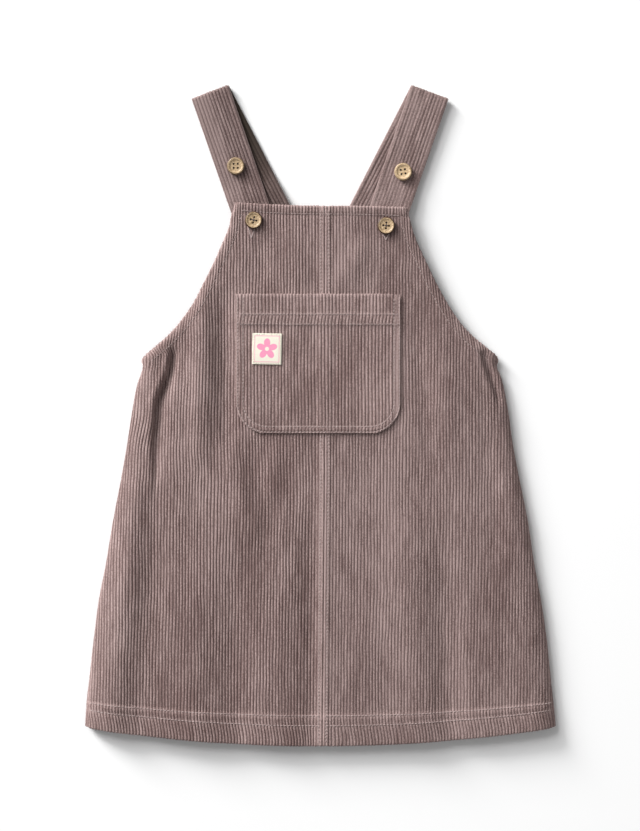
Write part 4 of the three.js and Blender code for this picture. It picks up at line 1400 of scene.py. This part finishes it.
# Very dark thread: its own colour, darkened further as painted shade in the button holes.
dark_thread_and_hole_shade = thread("dark_thread_and_hole_shade", (0.022, 0.015, 0.013), (0.14, 0.10, 0.093))
label_thread = thread("label_thread", (0.7, 0.64, 0.5), (0.92, 0.88, 0.76))

front_left = dress(front_panel(-1), left_cloth, "corduroy", "front_left")
front_right = dress(front_panel(1), right_cloth, "corduroy", "front_right")
back = dress(back_panel(), left_cloth, "corduroy", "back")
pocket = dress(pocket_panel(), pocket_corduroy, "corduroy", "pocket")
strap_left = dress(shoulder_strap(-1), left_strap_cloth, "corduroy", "strap_left")
strap_right = dress(shoulder_strap(1), right_strap_cloth, "corduroy", "strap_right")
label = dress(label_ribbon(), woven_label(), "label", "label")

front_rows = dress(front_stitches(), sewing_thread, "corduroy")
back_rows = dress(back_stitches(), sewing_thread, "corduroy")
pocket_rows = dress(pocket_stitches(), sewing_thread, "corduroy")
label_rows = dress(label_stitches(), label_thread, "label")
dress(buttonholes(), sewing_thread, "corduroy")
dress(button_threads(), dark_thread_and_hole_shade, "corduroy")

for name, (light, flecked, rimmed, _) in BUTTONS.items():
    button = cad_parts[name]
    button.data.materials.clear()
    button.data.materials.append(coconut(name, light, flecked, rimmed))


# ---- floor, light and camera, in metres ----

FLOOR_SIZE = 6
FLOOR_GAP = 0.0002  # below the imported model's underside
LIGHTS = {  # place, size and power
    "low_key": ((-5.7, 5.7, 2.5), 3.0, 1040),
    "high_key": ((-4.86, 4.86, 4.9), 5.2, 490),
    "fill": ((2.2, -1.6, 2.4), 3.2, 10),
}
ROOM_LIGHT = 0.27
LENS, SENSOR = 85, 36
FRAME_HEIGHT = 0.7063  # what the picture takes in at the dress's upper face
FACE_HEIGHT = 0.009

bpy.ops.object.select_all(action="DESELECT")
bpy.ops.mesh.primitive_plane_add(size=FLOOR_SIZE, location=(0, 0, -FLOOR_GAP))
floor = bpy.context.active_object
floor.name = "floor"
floor.data.materials.append(pale_floor())
floor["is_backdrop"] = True


def area_light(name, place, size, power):
    """A round lamp that looks at the middle of the dress."""
    data = bpy.data.lights.new(name, "AREA")
    data.shape = "DISK"
    data.size = size
    data.energy = power
    light = bpy.data.objects.new(name, data)
    light.location = place
    light.rotation_euler = (-Vector(place)).to_track_quat("-Z", "Y").to_euler()
    bpy.context.scene.collection.objects.link(light)


for name, (place, size, power) in LIGHTS.items():
    area_light(name, place, size, power)

world = bpy.data.worlds.new("soft_room")
world.use_nodes = True
background = world.node_tree.nodes["Background"]
background.inputs["Color"].default_value = (1, 1, 1, 1)
background.inputs["Strength"].default_value = ROOM_LIGHT
bpy.context.scene.world = world
bpy.context.scene.view_settings.view_transform = "Standard"

camera_data = bpy.data.cameras.new("camera")
camera_data.lens = LENS
camera_data.sensor_fit = "VERTICAL"
camera_data.sensor_height = SENSOR
camera = bpy.data.objects.new("camera", camera_data)
camera.location = (0, 0, FRAME_HEIGHT * LENS / SENSOR + FACE_HEIGHT)
bpy.context.scene.collection.objects.link(camera)
bpy.context.scene.camera = camera

visual_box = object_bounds()
boxes = {"cad": [list(corner) for corner in cad_box], "visual": [list(corner) for corner in visual_box]}
